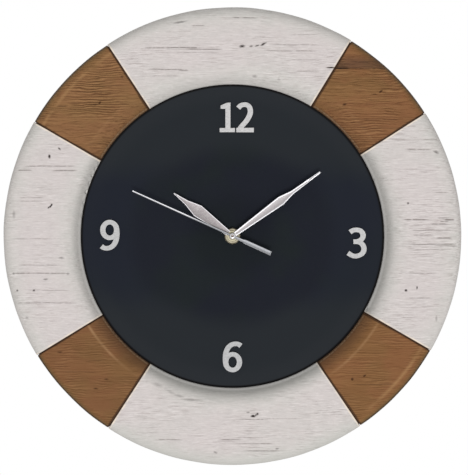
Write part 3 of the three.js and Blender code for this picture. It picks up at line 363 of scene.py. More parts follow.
def whitewashed_wood():
    look = Look("whitewashed_wood", (213, 205, 202), 0.62, specular=0.25)
    x, y, h = look.place()
    radius = x.hypot(y)
    sway = look.noise(x / 45, y / 20, h / 20, detail=2) - 0.5
    level = y + sway * 5
    ragged = look.noise(x / 3, y / 1.2, h, detail=2)
    hairs = look.noise(x / 11, level / 0.8, h / 2, detail=3, roughness=0.6)
    flecks = look.noise(x / 3.4, level / 0.8, h / 2, detail=2)
    grooves = look.noise(x / 40, level / 1.2, h / 3, detail=4, roughness=0.6)
    patches = look.noise(x / 60 + 2, y / 45, h / 20, detail=2)
    scrubbed = look.noise(x / 30 + 7, y / 12, h / 20, detail=2)
    right_side = x.step(128, 150) * y.near(-2, 46)
    density = (scrubbed.step(0.4, 0.64) + right_side * 1.2).least(1.6)
    side, laps = brushed_side(look, x, y, h, radius)
    front = 1 - side * 0.85

    # The wash: cloudy, pinker along the middle of the ring and rubbed thin along the grain
    middle = radius.step(RING_RADIUS - 5, 170) * radius.step(CREASE_RADIUS - 5, 150)
    pink = (middle * 0.6 + patches.step(0.38, 0.62) * 0.4).least(1)
    wash = look.mix(pink, (204, 201, 196), (209, 201, 199))
    clouds = look.noise(x / 9, y / 5, h / 9, detail=4, roughness=0.6)
    wash = wash.coated(clouds.step(0.3, 0.75) * 0.4, (222, 213, 210))
    light = hairs.step(0.5, 0.32) * (0.3 + density * 0.25) + flecks.step(0.46, 0.3) * 0.25
    wash = wash.coated(light.least(1) * front, (236, 229, 227))
    thin = hairs.step(0.54, 0.68) * (0.2 + density * 0.3) + flecks.step(0.56, 0.7) * 0.15
    thin = thin * front
    wash = wash.coated(thin.least(1) * 0.75, (166, 151, 147))
    worn = grooves.step(0.59, 0.7) * (0.08 + density * 0.4) * front
    wash = wash.coated(worn * 0.55, (158, 144, 138))

    # Painted shade in the bevel and near the opening, a painted highlight along the lip, painted
    # shade greying the rim, and brush marks on the rim's side
    bevel = radius.step(CREASE_RADIUS + 2, OPENING_RADIUS + 1)
    # Painted shade in the bevel, stronger low down and to the right
    painted_bevel_shade = 0.3 + y.step(-60, -120) * 0.45 + x.step(60, 120) * 0.3
    wash = wash.coated(bevel * painted_bevel_shade, (170, 170, 165))
    # Painted shade near the opening, uneven and faint at the top
    deep = radius.step(OPENING_RADIUS + 9, OPENING_RADIUS + 3) * (1 - y.step(60, 120) * 0.8)
    wash = wash.coated(deep * (0.1 + ragged * 0.45), (132, 130, 126))
    # Painted highlight along the lip, strongest at the bottom and weakest at the top
    lip = radius.near(OPENING_RADIUS + 0.7, 1.9)
    wear_and_highlight = 0.45 + y.step(20, -100) * 0.4 - y.step(20, 100) * 0.35 + x.step(40, 120) * 0.1
    wash = wash.coated(lip * wear_and_highlight, (228, 226, 222))
    # Painted shade greying the rim, less at the sides and more at the bottom
    rim = radius.step(RING_RADIUS - 12, RING_RADIUS - 2)
    painted_rim_shade = 0.4 - x.size().step(150, 185) * 0.28 + y.step(-140, -182) * 0.25
    wash = wash.coated(rim * painted_rim_shade, (190, 190, 184))
    wash = wash.coated(side * laps.step(0.52, 0.68) * 0.5, (176, 164, 156))
    wash = wash.coated(side * laps.step(0.46, 0.34) * 0.4, (232, 226, 220))

    # Scratches and cracks, and the pale and dark edges beside the seams
    marks = scratches(x + sway * 0.6, y + sway * 1.4, WHITE_SCRATCHES)
    broken = (marks * (0.35 + ragged.step(0.26, 0.56) * 0.65)).least(1)
    wash = wash.coated(broken * 0.7, (104, 88, 82))
    waver = ragged - 0.5
    cracks = spots(x + waver * 0.4, y + waver * 1.6, WHITE_CRACKS)
    wash = wash.coated(cracks * 0.95, (48, 38, 36))
    seam = look.attribute("seam")
    halo = (seam + waver * 0.8).step(1.9, 1.0) * (0.3 + ragged)
    halo = halo * (0.35 + clouds.step(0.4, 0.6))
    wash = wash.coated(halo.least(1) * 0.8, (248, 232, 212))
    wash = wash.coated(seam.step(0.55, 0.15) * 0.85, (80, 54, 40))

    colour = wash.coated(left_bare(radius, h), bare_pine(look, x, y, h))
    roughness = 0.6 + hairs * 0.15 + side * 0.15
    height = 1 - thin * 0.6 - worn * 0.9 - broken * 1.6 - cracks * 1.8 + clouds * 0.5
    return look.finished(colour, roughness, height, 0.3)


def brown_wood():
    look = Look("brown_stained_wood", (131, 92, 60), 0.58, specular=0.16)
    x, y, h = look.place()
    radius = x.hypot(y)
    sway = look.noise(x / 16, y / 9, h / 20, detail=2) - 0.5
    level = y + sway * 5
    ragged = look.noise(x / 3, y / 1.2, h, detail=2)
    ripples = look.noise(x / 24, level / 0.85, h / 2, detail=3, roughness=0.62)
    waver = look.noise(x / 26, y / 8, h / 8, detail=2)
    brush = ((y + waver * 7) * (2 * math.pi / RIPPLE_PITCH) + ragged * 1.5).sine()
    bands = look.noise(x / 80, level / 4.2, h / 6, detail=3)
    patches = look.noise(x / 30, y / 24, h / 20, detail=3)
    furrowed = x.near(-112, 28) * y.near(120, 24)
    calm = 1 - y.step(-20, -70) * 0.4
    brushed = look.noise(x / 26 + 3, y / 20, h / 20, detail=2).step(0.36, 0.6) * calm
    brushed = (brushed + furrowed * 1.6).least(1.7)
    side, laps = brushed_side(look, x, y, h, radius)
    front = 1 - side * 0.85

    # The stain: paler at the upper left, richer low down, and streaked by grain and brush
    stain = look.mix(patches.step(0.38, 0.6), (124, 90, 54), (133, 90, 58))
    stain = stain.coated(bands.step(0.42, 0.7) * 0.5, (148, 108, 68))
    stain = stain.coated(x.step(-20, -90) * y.step(20, 90) * 0.14, (180, 142, 98))
    richer = look.mix(x.step(-40, 40), (106, 70, 38), (126, 82, 44))
    stain = stain.coated(0.14 + y.step(10, -60) * 0.24, richer)
    valley = ripples.step(0.54, 0.68) * 0.55 * calm + brush.step(-0.3, -0.95) * brushed * 0.6
    valley = valley * front
    crest = ripples.step(0.46, 0.32) * 0.5 * calm + brush.step(0.2, 0.9) * brushed * 0.6
    crest = crest * front
    stain = stain.coated(valley.least(1) * 0.75, (88, 56, 33))
    stain = stain.coated(crest.least(1) * 0.6, (172, 130, 88))

    # Painted shade in the bevel and near the opening, a painted highlight along the lip, the crease
    # worn pale, and a darker rim
    # Painted shade in the bevel, stronger low down
    bevel = radius.step(CREASE_RADIUS + 1, OPENING_RADIUS + 3)
    stain = stain.coated(bevel * (0.2 + y.step(20, -60) * 0.4), (92, 66, 46))
    # Painted shade at the edge of the opening
    deep = radius.step(OPENING_RADIUS + 3.4, OPENING_RADIUS - 0.5)
    stain = stain.coated(deep * 0.6, (62, 48, 40))
    # Painted highlight along the lip, broken up
    lip = radius.near(OPENING_RADIUS + 1.1, 0.9) * ragged.step(0.3, 0.6)
    stain = stain.coated(lip * 0.7, (158, 132, 104))
    ends = y.step(-62, -80) * y.step(-118, -88)
    uneven = 0.2 + patches.step(0.4, 0.6) * 0.5 + ragged * 0.5
    worn = radius.near(CREASE_RADIUS + 0.4, 1.7) * (0.15 + ends * 0.85) * uneven
    stain = stain.coated(worn.least(1) * 0.6, (182, 144, 104))
    # A worn pale line inside the rim, at the upper left and lower right
    wear_and_highlight = radius.near(RING_RADIUS - 8.5, 2.2) * (x * y).step(6000, -6000)
    stain = stain.coated(wear_and_highlight * patches.step(0.36, 0.6) * 0.5, (176, 136, 92))
    olive = radius.step(RING_RADIUS - 6, RING_RADIUS - 1) * h.step(17, 24)
    stain = stain.coated((olive * (0.25 + ragged * 0.5)).least(1), (92, 82, 50))
    outside = RING_RADIUS - BROWN_INSET
    rim = radius.step(outside - 2.6, outside - 0.8) * h.step(19, 26)
    stain = stain.coated(rim * 0.85, (58, 44, 32))
    stain = stain.coated(side * laps.step(0.52, 0.68) * 0.6, (88, 60, 38))
    stain = stain.coated(side * laps.step(0.46, 0.34) * 0.5, (160, 118, 78))

    # The darker board above the upper right crack, scratches, knots and the seams' dark edge
    board = x.step(60, 70) * y.step(138.2, 139.4) * y.step(152, 143)
    stain = stain.coated((board * (0.2 + ripples)).least(1) * 0.85, (78, 57, 44))
    marks = scratches(x + sway * 0.6, y + sway * 2, BROWN_SCRATCHES)
    stain = stain.coated(marks * ragged.step(0.2, 0.5) * 0.85, (48, 30, 20))
    jitter = ragged - 0.5
    knots = spots(x + jitter * 0.4, y + jitter * 1.2, BROWN_KNOTS)
    stain = stain.coated(knots.least(1) * 0.9, (66, 38, 18))
    seam = look.attribute("seam")
    arris = (seam + jitter * 0.8 + (patches - 0.5) * 3).step(1.7, 0.75)
    stain = stain.coated(arris * 0.85, (62, 40, 24))

    colour = stain.coated(left_bare(radius, h), bare_pine(look, x, y, h))
    roughness = 0.54 + ripples * 0.2 + side * 0.2
    height = 1 - valley * 0.9 + crest * 0.6 - marks - knots + worn * 0.3
    return look.finished(colour, roughness, height, 0.35)


def dial_paint():
    look = Look("dial_paint", (28, 33, 38), 0.8, specular=0.12)
    x, y, h = look.place()
    radius = x.hypot(y)
    cloud = look.noise(x / 60, y / 60, h, detail=2)
    tooth = look.noise(x / 0.7, y / 0.7, h / 0.7, detail=2)
    paint = look.mix(cloud.step(0.4, 0.6), (24, 27, 36), (25, 31, 33))
    paint = paint.coated(tooth.step(0.45, 0.75) * 0.2, (38, 42, 48))
    paint = paint.coated(radius.step(45, 22) * 0.35, (12, 15, 22))
    paint = paint.coated(radius.step(74, 94) * 0.7, (29, 33, 43))
    paler = radius.step(60, 84) * (y.size() + cloud * 12).step(44, 76)
    paint = paint.coated(paler * 0.9, (35, 39, 43))
    # A painted lighter band towards the ring, stronger at the top and bottom
    foot = radius.step(106, 122) * (0.1 + y.size().step(30, 80) * 0.4)
    paint = paint.coated(foot, (42, 45, 49))
    # Painted shadow along the dial's edge, under the ring's lip
    paint = paint.coated(radius.step(OPENING_RADIUS - 2.4, OPENING_RADIUS - 1), (11, 10, 11))
    fibre = look.noise(x / 3, y / 3, h, detail=5, roughness=0.7)
    board = look.mix(fibre.step(0.35, 0.65), (122, 92, 62), (98, 72, 48))
    behind = h.step(DIAL_FRONT - 0.3, DIAL_FRONT - 0.5)
    return look.finished(paint.coated(behind, board), 0.8, tooth * 0.5 + fibre * behind, 0.1)


def numeral_silver():
    look = Look("numeral_silver", (150, 150, 149), 0.45, metallic=0.9)
    x, y, h = look.place()
    brushed = look.noise(x / 1.1, y / 0.25, h, detail=3, roughness=0.7)
    mottled = look.noise(x / 1.6, y / 1.6, h, detail=3)
    # Painted light and shade: the numerals lighter high up and darker low down
    painted_shade_low_down = y.step(110, -110)
    light = look.mix(painted_shade_low_down, (164, 163, 162), (136, 136, 136))
    dark = look.mix(painted_shade_low_down, (148, 147, 148), (120, 120, 121))
    metal = light.coated(brushed.step(0.35, 0.7), dark)
    metal = metal.coated(mottled.step(0.45, 0.7) * 0.35, (116, 116, 118))
    return look.finished(metal, 0.34 + mottled * 0.16, brushed, 0.02)


def hand_aluminium():
    look = Look("hand_aluminium", (180, 172, 177), 0.36, metallic=0.9)
    x, y, h = look.place()
    brushed = look.noise(x / 0.5, y / 0.5, h, detail=3, roughness=0.7)
    mottled = look.noise(x / 0.9, y / 0.9, h, detail=2)
    shine = look.attribute("shine")
    dull = look.mix(brushed.step(0.35, 0.7), (141, 138, 137), (116, 112, 112))
    dull = dull.coated(mottled.step(0.4, 0.65) * 0.75, (118, 109, 113))
    cooler = look.mix(brushed.step(0.35, 0.7), (130, 131, 134), (102, 104, 107))
    of_seconds = h.step(SECONDS_BACK - 0.15, SECONDS_BACK - 0.05)
    metal = dull.coated(of_seconds, cooler)
    # Painted highlight along the raised borders, partly their smoother finish
    metal = metal.coated(shine.step(0, 1), (202, 201, 204))
    metal = metal.coated(shine.step(0, -1), (154, 148, 126))
    # Painted shade in the pit of the seconds cap
    painted_pit_shade = x.hypot(y).step(1.0, 0.7) * of_seconds
    metal = metal.coated(painted_pit_shade, (104, 92, 82))
    return look.finished(metal, 0.46 - shine.step(0, 1) * 0.18, brushed, 0.015)


def turned_brass():
    look = Look("turned_brass", (160, 155, 125), 0.34, metallic=0.9)
    x, y, h = look.place()
    radius = x.hypot(y)
    tool = look.noise(radius / 0.12, h / 0.3, 0.5, detail=2)
    tarnish = look.noise(x / 2.5, y / 2.5, h / 2.5, detail=3)
    metal = look.mix(tarnish.step(0.35, 0.7), (146, 140, 122), (126, 120, 102))
    # Painted shade towards the outside of the nut, washer and bushing
    metal = metal.coated(radius.step(4.9, 6.9) * 0.8, (66, 61, 50))
    return look.finished(metal, 0.28 + tarnish * 0.2, tool, 0.012)


def bright_metal(name, colour, dull):
    look = Look(name, colour, 0.34, metallic=0.9)
    x, y, h = look.place()
    brushed = look.noise(x / 0.9, y / 0.3, h / 0.9, detail=3, roughness=0.6)
    spangle = look.noise(x / 3.5, y / 3.5, h / 3.5, detail=2)
    metal = look.mix(spangle.step(0.4, 0.65) * 0.7, colour, dull)
    return look.finished(metal, 0.26 + brushed * 0.22, brushed, 0.015)


def moulded_plastic(name, colour, worn, roughness=0.5):
    look = Look(name, colour, roughness, specular=0.4)
    x, y, h = look.place()
    spark = look.noise(x / 0.35, y / 0.35, h / 0.35, detail=2)
    flow = look.noise(x / 14, y / 14, h / 8, detail=2)
    plastic = look.mix(flow.step(0.4, 0.7) * 0.5, colour, worn)
    return look.finished(plastic, roughness - 0.08 + spark * 0.16, spark, 0.04)


def battery_jacket():
    blue = (45, 79, 134)
    look = Look("battery_jacket", blue, 0.34)
    x, y, h = look.place()
    scuff = look.noise(x / 2, y / 0.4, h / 0.4, detail=4, roughness=0.7)
    band = x.step(13.4, 13.8)
    sleeve = look.mix(band, blue, (188, 190, 194))
    sleeve = sleeve.coated(scuff.step(0.55, 0.75) * 0.25, (120, 135, 160))
    can = x.size().step(23.6, 23.8)
    look.set("Metallic", can * 0.9 + band * 0.3)
    colour = sleeve.coated(can, (176, 178, 182))
    return look.finished(colour, 0.3 + scuff * 0.15, scuff * 0.3 + (1 - can) * 2, 0.05)


def copper_wire():
    look = Look("copper_wire", (164, 89, 43), 0.35, metallic=0.8)
    x, y, h = look.place()
    turns = (y * 24).sine()
    varnish = look.noise(x / 1.5, y / 3, h / 1.5, detail=2)
    # Painted highlight on each turn and painted shade between the turns
    wire = look.mix(turns.step(-0.6, 0.6), (112, 54, 24), (190, 110, 60))
    wire = wire.coated(varnish.step(0.5, 0.8) * 0.4, (130, 66, 30))
    return look.finished(wire, 0.3 + varnish * 0.2, turns, 0.05)


def board_green():
    green = (31, 90, 54)
    look = Look("board_green", green, 0.42)
    x, y, _ = look.place()
    weave = (x * 7).sine() * (y * 7).sine()
    tracks = look.noise(x / 1.8, y / 1.2, 0.5, detail=0).step(0.55, 0.57)
    mask = look.mix(tracks * 0.5, green, (56, 122, 70))
    mask = mask.coated(weave.step(0, 1) * 0.2, (24, 74, 44))
    return look.finished(mask, 0.36 + tracks * 0.1, tracks + weave * 0.1, 0.03)


def dark_glue():
    look = Look("dark_glue", (44, 30, 22), 0.7, specular=0.2)
    x, y, h = look.place()
    grain = look.noise(x / 1.5, y / 1.5, h / 1.5, detail=3)
    glue = look.mix(grain.step(0.3, 0.7), (52, 34, 22), (92, 64, 44))
    return look.finished(glue, 0.7, grain, 0.2)


FINISHES = {
    "whitewashed_wood": whitewashed_wood(),
    "brown_wood": brown_wood(),
    "dial_paint": dial_paint(),
    "numeral_silver": numeral_silver(),
    "hand_aluminium": hand_aluminium(),
    "brass": turned_brass(),
    "steel": bright_metal("bright_steel", (160, 165, 170), (136, 140, 146)),
    "zinc_plate": bright_metal("zinc_plate", (188, 190, 192), (160, 163, 168)),
    "black_plastic": moulded_plastic("black_plastic", (26, 27, 29), (36, 37, 40)),
    "white_plastic": moulded_plastic("white_plastic", (226, 224, 215), (208, 204, 192)),
    "black_rubber": moulded_plastic("black_rubber", (20, 20, 21), (34, 34, 34), 0.8),
    "copper_wire": copper_wire(),
    "magnet": bright_metal("magnet_grey", (84, 86, 90), (64, 66, 70)),
    "battery_jacket": battery_jacket(),
    "board_green": board_green(),
    "chip_black": moulded_plastic("chip_black", (14, 14, 15), (28, 28, 30), 0.3),
}
GLUE = dark_glue()


# Building pieces


def solid_object(name, points, faces):
    """A closed solid from points in millimetres, its faces turned outwards."""
    mesh = bpy.data.meshes.new(name)
    mesh.from_pydata([stand(*point) for point in points], [], faces)
    drawn = bmesh.new()
    drawn.from_mesh(mesh)
    bmesh.ops.recalc_face_normals(drawn, faces=drawn.faces)
    drawn.to_mesh(mesh)
    drawn.free()
    solid = bpy.data.objects.new(name, mesh)
    bpy.context.scene.collection.objects.link(solid)
    return solid


def finish_piece(piece, slot, body, stands_for, corner):
    """Gives a piece its finish and its body, and hides the solids that it stands for."""
    piece.data.materials.clear()
    piece.data.materials.append(FINISHES.get(slot, GLUE))
    soften(piece.data, corner)
    slot in FINISHES
    if stands_for:
        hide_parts(*stands_for)
    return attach(piece, body)


def add_piece(name, points, faces, slot, body="clock", stands_for=(), corner=35):
    piece = solid_object(name, points, faces)
    return finish_piece(piece, slot, body, stands_for, corner)


def add_values(piece, name, values):
    """A number for each point, for the finish to read."""
    attribute = piece.data.attributes.new(name, "FLOAT", "POINT")
    attribute.data.foreach_set("value", values)


def combine(first, second, operation):
    """Joins a second solid to the first, cuts it out, or keeps what they share."""
    modifier = first.modifiers.new(operation.lower(), "BOOLEAN")
    modifier.operation = operation
    modifier.solver = "EXACT"
    modifier.object = second
    shaped = bpy.context.evaluated_depsgraph_get()
    result = bpy.data.meshes.new_from_object(first.evaluated_get(shaped))
    first.modifiers.clear()
    first.data = result
    bpy.data.objects.remove(second)
    return first


def cut(piece, shape):
    """Cuts a shape, given as points and faces, out of a piece."""
    return combine(piece, solid_object("cut_out", *shape), "DIFFERENCE")


def join(piece, shape):
    return combine(piece, solid_object("joined", *shape), "UNION")


def soften(mesh, corner):
    """Smooth shading, kept sharp where faces meet at more than that angle in degrees."""
    mesh.polygons.foreach_set("use_smooth", [True] * len(mesh.polygons))
    mesh.set_sharp_from_angle(angle=math.radians(corner))


def ease_edges(piece, width):
    """Takes the sharpness off a piece's edges, over that width in millimetres."""
    bevel = piece.modifiers.new("eased_edges", "BEVEL")
    bevel.width = width * MM
    bevel.segments = 2
    bevel.limit_method = "ANGLE"
    bevel.angle_limit = math.radians(40)
    bevel.harden_normals = True


def wall_faces(rows):
    """Faces between rows of point numbers, each row running round once."""
    faces = []
    for lower, upper in zip(rows, rows[1:]):
        for index in range(len(lower)):
            after = (index + 1) % len(lower)
            corners = [lower[index], lower[after], upper[after], upper[index]]
            corners = list(dict.fromkeys(corners))
            if len(corners) > 2:
                faces.append(corners)
    return faces


def even_rows(count, length):
    """The point numbers of that many rows of one length."""
    return [list(range(row * length, (row + 1) * length)) for row in range(count)]


def oval(x, y, wide, tall, steps):
    """A line round a place, reaching that far across and up."""
    turns = [2 * math.pi * step / steps for step in range(steps)]
    return [(x + wide * math.cos(turn), y + tall * math.sin(turn)) for turn in turns]


def lathe(profile, sides=96, middle=(0, 0)):
    """Points and faces of a [radius, height] profile turned round the line of view."""
    points, rows = [], []
    for radius, height in profile:
        if radius == 0:
            rows.append([len(points)] * sides)
            points.append((*middle, height))
        else:
            rows.append(list(range(len(points), len(points) + sides)))
            points += [(x, y, height) for x, y in oval(*middle, radius, radius, sides)]
    if profile[0][0] > 0:
        rows.append(rows[0])
    return points, wall_faces(rows)


def prism(outline, low, high):
    points = [(x, y, h) for h in (low, high) for x, y in outline]
    rows = even_rows(2, len(outline))
    return points, rows + wall_faces(rows)


def block(left, right, bottom, top, low, high):
    return prism([(left, bottom), (right, bottom), (right, top), (left, top)], low, high)


def flat_solid(name, outline, low, high):
    return solid_object(name, *prism(outline, low, high))


def rounded_box(left, right, bottom, top, corner, steps=8):
    outline = []
    corners = ((right, top, 0), (left, top, 90), (left, bottom, 180), (right, bottom, 270))
    for x, y, turn in corners:
        inner_x = x - corner if x == right else x + corner
        inner_y = y - corner if y == top else y + corner
        for step in range(steps + 1):
            angle = math.radians(turn + 90 * step / steps)
            outline.append((inner_x + corner * math.cos(angle), inner_y + corner * math.sin(angle)))
    return outline


def raised(profile, base):
    """A turned profile lifted to that height."""
    return [(radius, base + height) for radius, height in profile]


def thread(start, end, outside, root, pitch):
    """The grooves of a thread in a turned profile."""
    profile = []
    height = start
    while height < end:
        profile += [(outside, height), (root, height + pitch / 2)]
        height += pitch
    return profile


# The ring

# Distances from a seam at which a segment has points across it
NEAR_SEAM = (0, 0.06, 0.16, 0.3, 0.5, 0.75, 1.05, 1.4, 2.0, 3.0)
COLUMN_WIDTH = 1.3


def bevel_section(steps):
    """The bevel from the crease down to the lip, falling ever steeper."""
    start, end = (math.radians(angle) for angle in BEVEL_ANGLES)
    section = []
    for step in range(steps + 1):
        angle = start + (end - start) * step / steps
        across = (math.sin(angle) - math.sin(start)) / (math.sin(end) - math.sin(start))
        down = (math.cos(start) - math.cos(angle)) / (math.cos(start) - math.cos(end))
        radius = CREASE_RADIUS - (CREASE_RADIUS - OPENING_RADIUS) * across
        section.append((radius, RING_DEPTH - BEVEL_DROP * down))
    return section


def between(first, second, steps):
    """Points from the first towards the second, without the second."""
    return [
        tuple(a + (b - a) * step / steps for a, b in zip(first, second))
        for step in range(steps)
    ]


def ring_section(rim):
    """The section of the ring, from the back of the rebate round the outside to the dial."""
    section = between((REBATE_RADIUS + 0.5, 0), (rim - BACK_ROUND, 0), 6)
    for step in range(4):
        angle = math.pi / 2 * step / 4
        radius = rim - BACK_ROUND * (1 - math.sin(angle))
        section.append((radius, BACK_ROUND * (1 - math.cos(angle))))
    wide, deep = EDGE_ROUND
    section += between((rim, BACK_ROUND), (rim, RING_DEPTH - deep), 8)
    for step in range(11):
        angle = math.pi / 2 * step / 11
        radius = rim - wide * (1 - math.cos(angle))
        section.append((radius, RING_DEPTH - deep * (1 - math.sin(angle))))
    section += between((rim - wide, RING_DEPTH), (CREASE_RADIUS, RING_DEPTH), 18)
    section += bevel_section(12)
    under_lip = (OPENING_RADIUS, RING_DEPTH - BEVEL_DROP - 0.4)
    section += between(under_lip, (OPENING_RADIUS, SHOULDER), 2)
    section += between((OPENING_RADIUS, SHOULDER), (REBATE_RADIUS, SHOULDER), 3)
    section += between((REBATE_RADIUS, SHOULDER), (REBATE_RADIUS, 0.5), 4)
    section.append((REBATE_RADIUS, 0.5))
    return section


# Torn places at the ring's inner edge: angle in degrees, half width in degrees, depth
TEAR_OUTS = (
    (151.4, 0.6, 0.8),
    (153.8, 0.8, 1.1),
    (156.6, 0.7, 1.2),
    (159.6, 1.0, 0.8),
    (163.2, 0.8, 1.3),
    (167.2, 1.0, 0.8),
    (172.2, 0.8, 0.5),
    (33.6, 0.8, 0.5),
    (331.4, 1.0, 0.9),
    (22.0, 0.6, 0.4),
)


def tear_out(angle):
    total = 0
    for middle, half, depth in TEAR_OUTS:
        away = abs((angle - middle + 180) % 360 - 180) / half
        total = max(total, depth * (1 - smooth_step(0.7, 1, away)))
    return total


def seam_drop(distance, round_over):
    """How far the wood falls away beside a seam, for a rounded arris."""
    if distance >= round_over:
        return 0
    share = 1 - distance / round_over
    return round_over * (1 - math.sqrt(1 - share * share))


def worn_point(x, y, radius, height, rim, seam, round_over):
    """A point of the ring after sanding: softened seams, uneven rim and torn inner edge."""
    angle = math.atan2(y, x)
    chipping = noise.noise(Vector((x / 6, y / 6, 9)))
    drop = seam_drop(seam, round_over * max(0.45, 0.85 + chipping))
    outer = smooth_step(rim - EDGE_ROUND[0], rim, radius)
    front = smooth_step(SHOULDER + 0.5, SHOULDER + 3.5, height)
    lip = smooth_step(OPENING_RADIUS + 2.2, OPENING_RADIUS, radius)
    around = Vector((math.cos(angle) * 9, math.sin(angle) * 9, height / 25))
    uneven = 0.5 + 0.5 * noise.noise(around)
    hollow = 0.5 + 0.5 * noise.noise(Vector((x / 32, y / 17, 3)))
    moved = radius - outer * (0.4 * uneven + drop * 0.8)
    if height > SHOULDER + 0.5:
        moved += lip * (tear_out(math.degrees(angle)) + 0.15 * uneven)
    lowered = height - front * (drop + 0.16 * hollow)
    scale = moved / radius
    return x * scale, y * scale, lowered


def beside_seam(seam_angle, side, distance, radius):
    """The angle of a point that far from a seam, on the side 1 or -1 of it."""
    offset = math.asin((GLUE_LINE / 2 + distance) / radius)
    return math.radians(seam_angle) + side * offset


def ring_piece(place, stain, start, end):
    brown = stain == "brown"
    rim = RING_RADIUS - (BROWN_INSET if brown else 0)
    round_over = 1.1 if brown else 0.8
    section = ring_section(rim)
    steps = round(math.radians(end - start) * (OPENING_RADIUS + rim) / 2 / COLUMN_WIDTH)
    columns = [(start, 1, distance, 0) for distance in NEAR_SEAM]
    columns += [(start, 1, NEAR_SEAM[-1], step / steps) for step in range(1, steps)]
    columns += [(end, -1, distance, 0) for distance in reversed(NEAR_SEAM)]
    points, seams = [], []
    for seam_angle, side, distance, share in columns:
        for radius, height in section:
            angle = beside_seam(seam_angle, side, distance, radius)
            if share:
                angle += (beside_seam(end, -1, distance, radius) - angle) * share
            x, y = radius * math.cos(angle), radius * math.sin(angle)
            points.append(worn_point(x, y, radius, height, rim, distance, round_over))
            seams.append(distance)
    rows = even_rows(len(columns), len(section))
    faces = wall_faces(rows) + [rows[0], rows[-1]]
    slot = "brown_wood" if brown else "whitewashed_wood"
    node = f"{stain}_segment_{place}"
    piece = add_piece(f"ring_{stain}_{place}", points, faces, slot, stands_for=[node])
    add_values(piece, "seam", seams)
    return piece


def glue_piece(place, angle):
    """The glue that fills a seam, a little below the wood on every side."""
    half = GLUE_LINE / 2 + 0.03
    inset = 1.6
    low, high = SHOULDER + 0.3, RING_DEPTH - inset
    rim = RING_RADIUS - BROWN_INSET - inset
    outline = (
        (REBATE_RADIUS + 0.2, 0.6),
        (rim, 0.6),
        (rim, high - EDGE_ROUND[1]),
        (rim - EDGE_ROUND[0], high),
        (CREASE_RADIUS, high),
        (OPENING_RADIUS + 5, high - 2.8),
        (OPENING_RADIUS + 1, low + 0.6),
        (OPENING_RADIUS + 1, low),
        (REBATE_RADIUS + 0.2, low),
    )
    turn = math.radians(angle)
    along = Vector((math.cos(turn), math.sin(turn)))
    across = Vector((-along.y, along.x))
    points = []
    for side in (-half, half):
        for radius, height in outline:
            points.append((*(along * radius + across * side), height))
    rows = even_rows(2, len(outline))
    add_piece(f"seam_glue_{place}", points, rows + wall_faces(rows), None)


def build_ring():
    hanger = box_of("hanger_plate")
    fit = 0.3
    recess = rounded_box(
        -hanger.right - fit, hanger.right + fit, hanger.bottom - fit, hanger.top + fit, 4.3
    )
    keyhole_pocket = block(-7.5, 7.5, 151.5, 175.5, 0.5, 8.8)
    for place, stain, start, end in SEGMENTS:
        piece = ring_piece(place, stain, start, end)
        glue_piece(place, end)
        if place == "top":
            cut(piece, prism(recess, -1, 1.8))
            cut(piece, keyhole_pocket)


# Numerals

NUMERAL_BACK = DIAL_FRONT + 0.3
NUMERAL_FRONT = NUMERAL_BACK + 1.6
TWELVE_HEIGHT = 24.9
ROUND_HEIGHT = 25.5
STEM = 4.4
BAR = 3.8
FOOT = 3.7
FOOT_SHARE = FOOT / TWELVE_HEIGHT

# Strokes of the numerals, in shares of their width and height
ONE = (
    (0, 0), (1, 0), (1, FOOT_SHARE), (0.71, FOOT_SHARE), (0.71, 1), (0.46, 0.99),
    (0.06, 0.895), (0.06, 0.78), (0.365, 0.78), (0.365, FOOT_SHARE), (0, FOOT_SHARE),
)
TWO = (
    (-0.06, 0.86), (0.14, 0.96), (0.46, 1), (0.77, 0.95), (0.925, 0.8),
    (0.913, 0.64), (0.77, 0.48), (0.56, 0.326), (0.26, 0.17), (0.05, 0.03),
)
THREE_UPPER = (
    (0.04, 0.91), (0.23, 0.98), (0.52, 1), (0.8, 0.95),
    (0.94, 0.8), (0.84, 0.65), (0.58, 0.565), (0.28, 0.55),
)
THREE_LOWER = (
    (0.28, 0.55), (0.64, 0.535), (0.91, 0.43), (1, 0.26),
    (0.86, 0.09), (0.5, 0), (0.19, 0.02), (-0.11, 0.12),
)
NINE_TAIL = (
    (0.935, 0.85), (0.99, 0.675), (1, 0.52), (0.95, 0.325), (0.8, 0.146),
    (0.545, 0.03), (0.27, 0), (0.06, 0.02), (-0.1, 0.08),
)
BOWL_MIDDLE = (0.49, 0.7)
BOWL_RADIUS = (0.49, 0.3)


def smooth_line(places, steps):
    """A Catmull-Rom line through the places, with its direction at each step."""
    line = []
    count = len(places) - 1
    for step in range(steps + 1):
        along = count * step / steps
        index = min(int(along), count - 1)
        t = along - index
        p1, p2 = places[index], places[index + 1]
        p0 = places[index - 1] if index > 0 else p1
        p3 = places[index + 2] if index + 2 <= count else p2
        point, slope = [], []
        for a, b, c, d in zip(p0, p1, p2, p3):
            v0, v1 = (c - a) / 2, (d - b) / 2
            cubic = 2 * b - 2 * c + v0 + v1
            square = -3 * b + 3 * c - 2 * v0 - v1
            point.append(cubic * t**3 + square * t**2 + v0 * t + b)
            slope.append(3 * cubic * t**2 + 2 * square * t + v0)
        length = math.hypot(*slope)
        line.append((point, [value / length for value in slope]))
    return line


def stroke(shares, width, height, steps=56):
    """A stroke drawn with a broad nib along a line, as a prism."""
    places = [(STEM / 2 + u * (width - STEM), BAR / 2 + v * (height - BAR)) for u, v in shares]
    left, right = [], []
    for point, along in smooth_line(places, steps):
        across = (-along[1] * STEM / 2, along[0] * BAR / 2)
        left.append((point[0] + across[0], point[1] + across[1]))
        right.append((point[0] - across[0], point[1] - across[1]))
    return prism(right + left[::-1], NUMERAL_BACK, NUMERAL_FRONT)


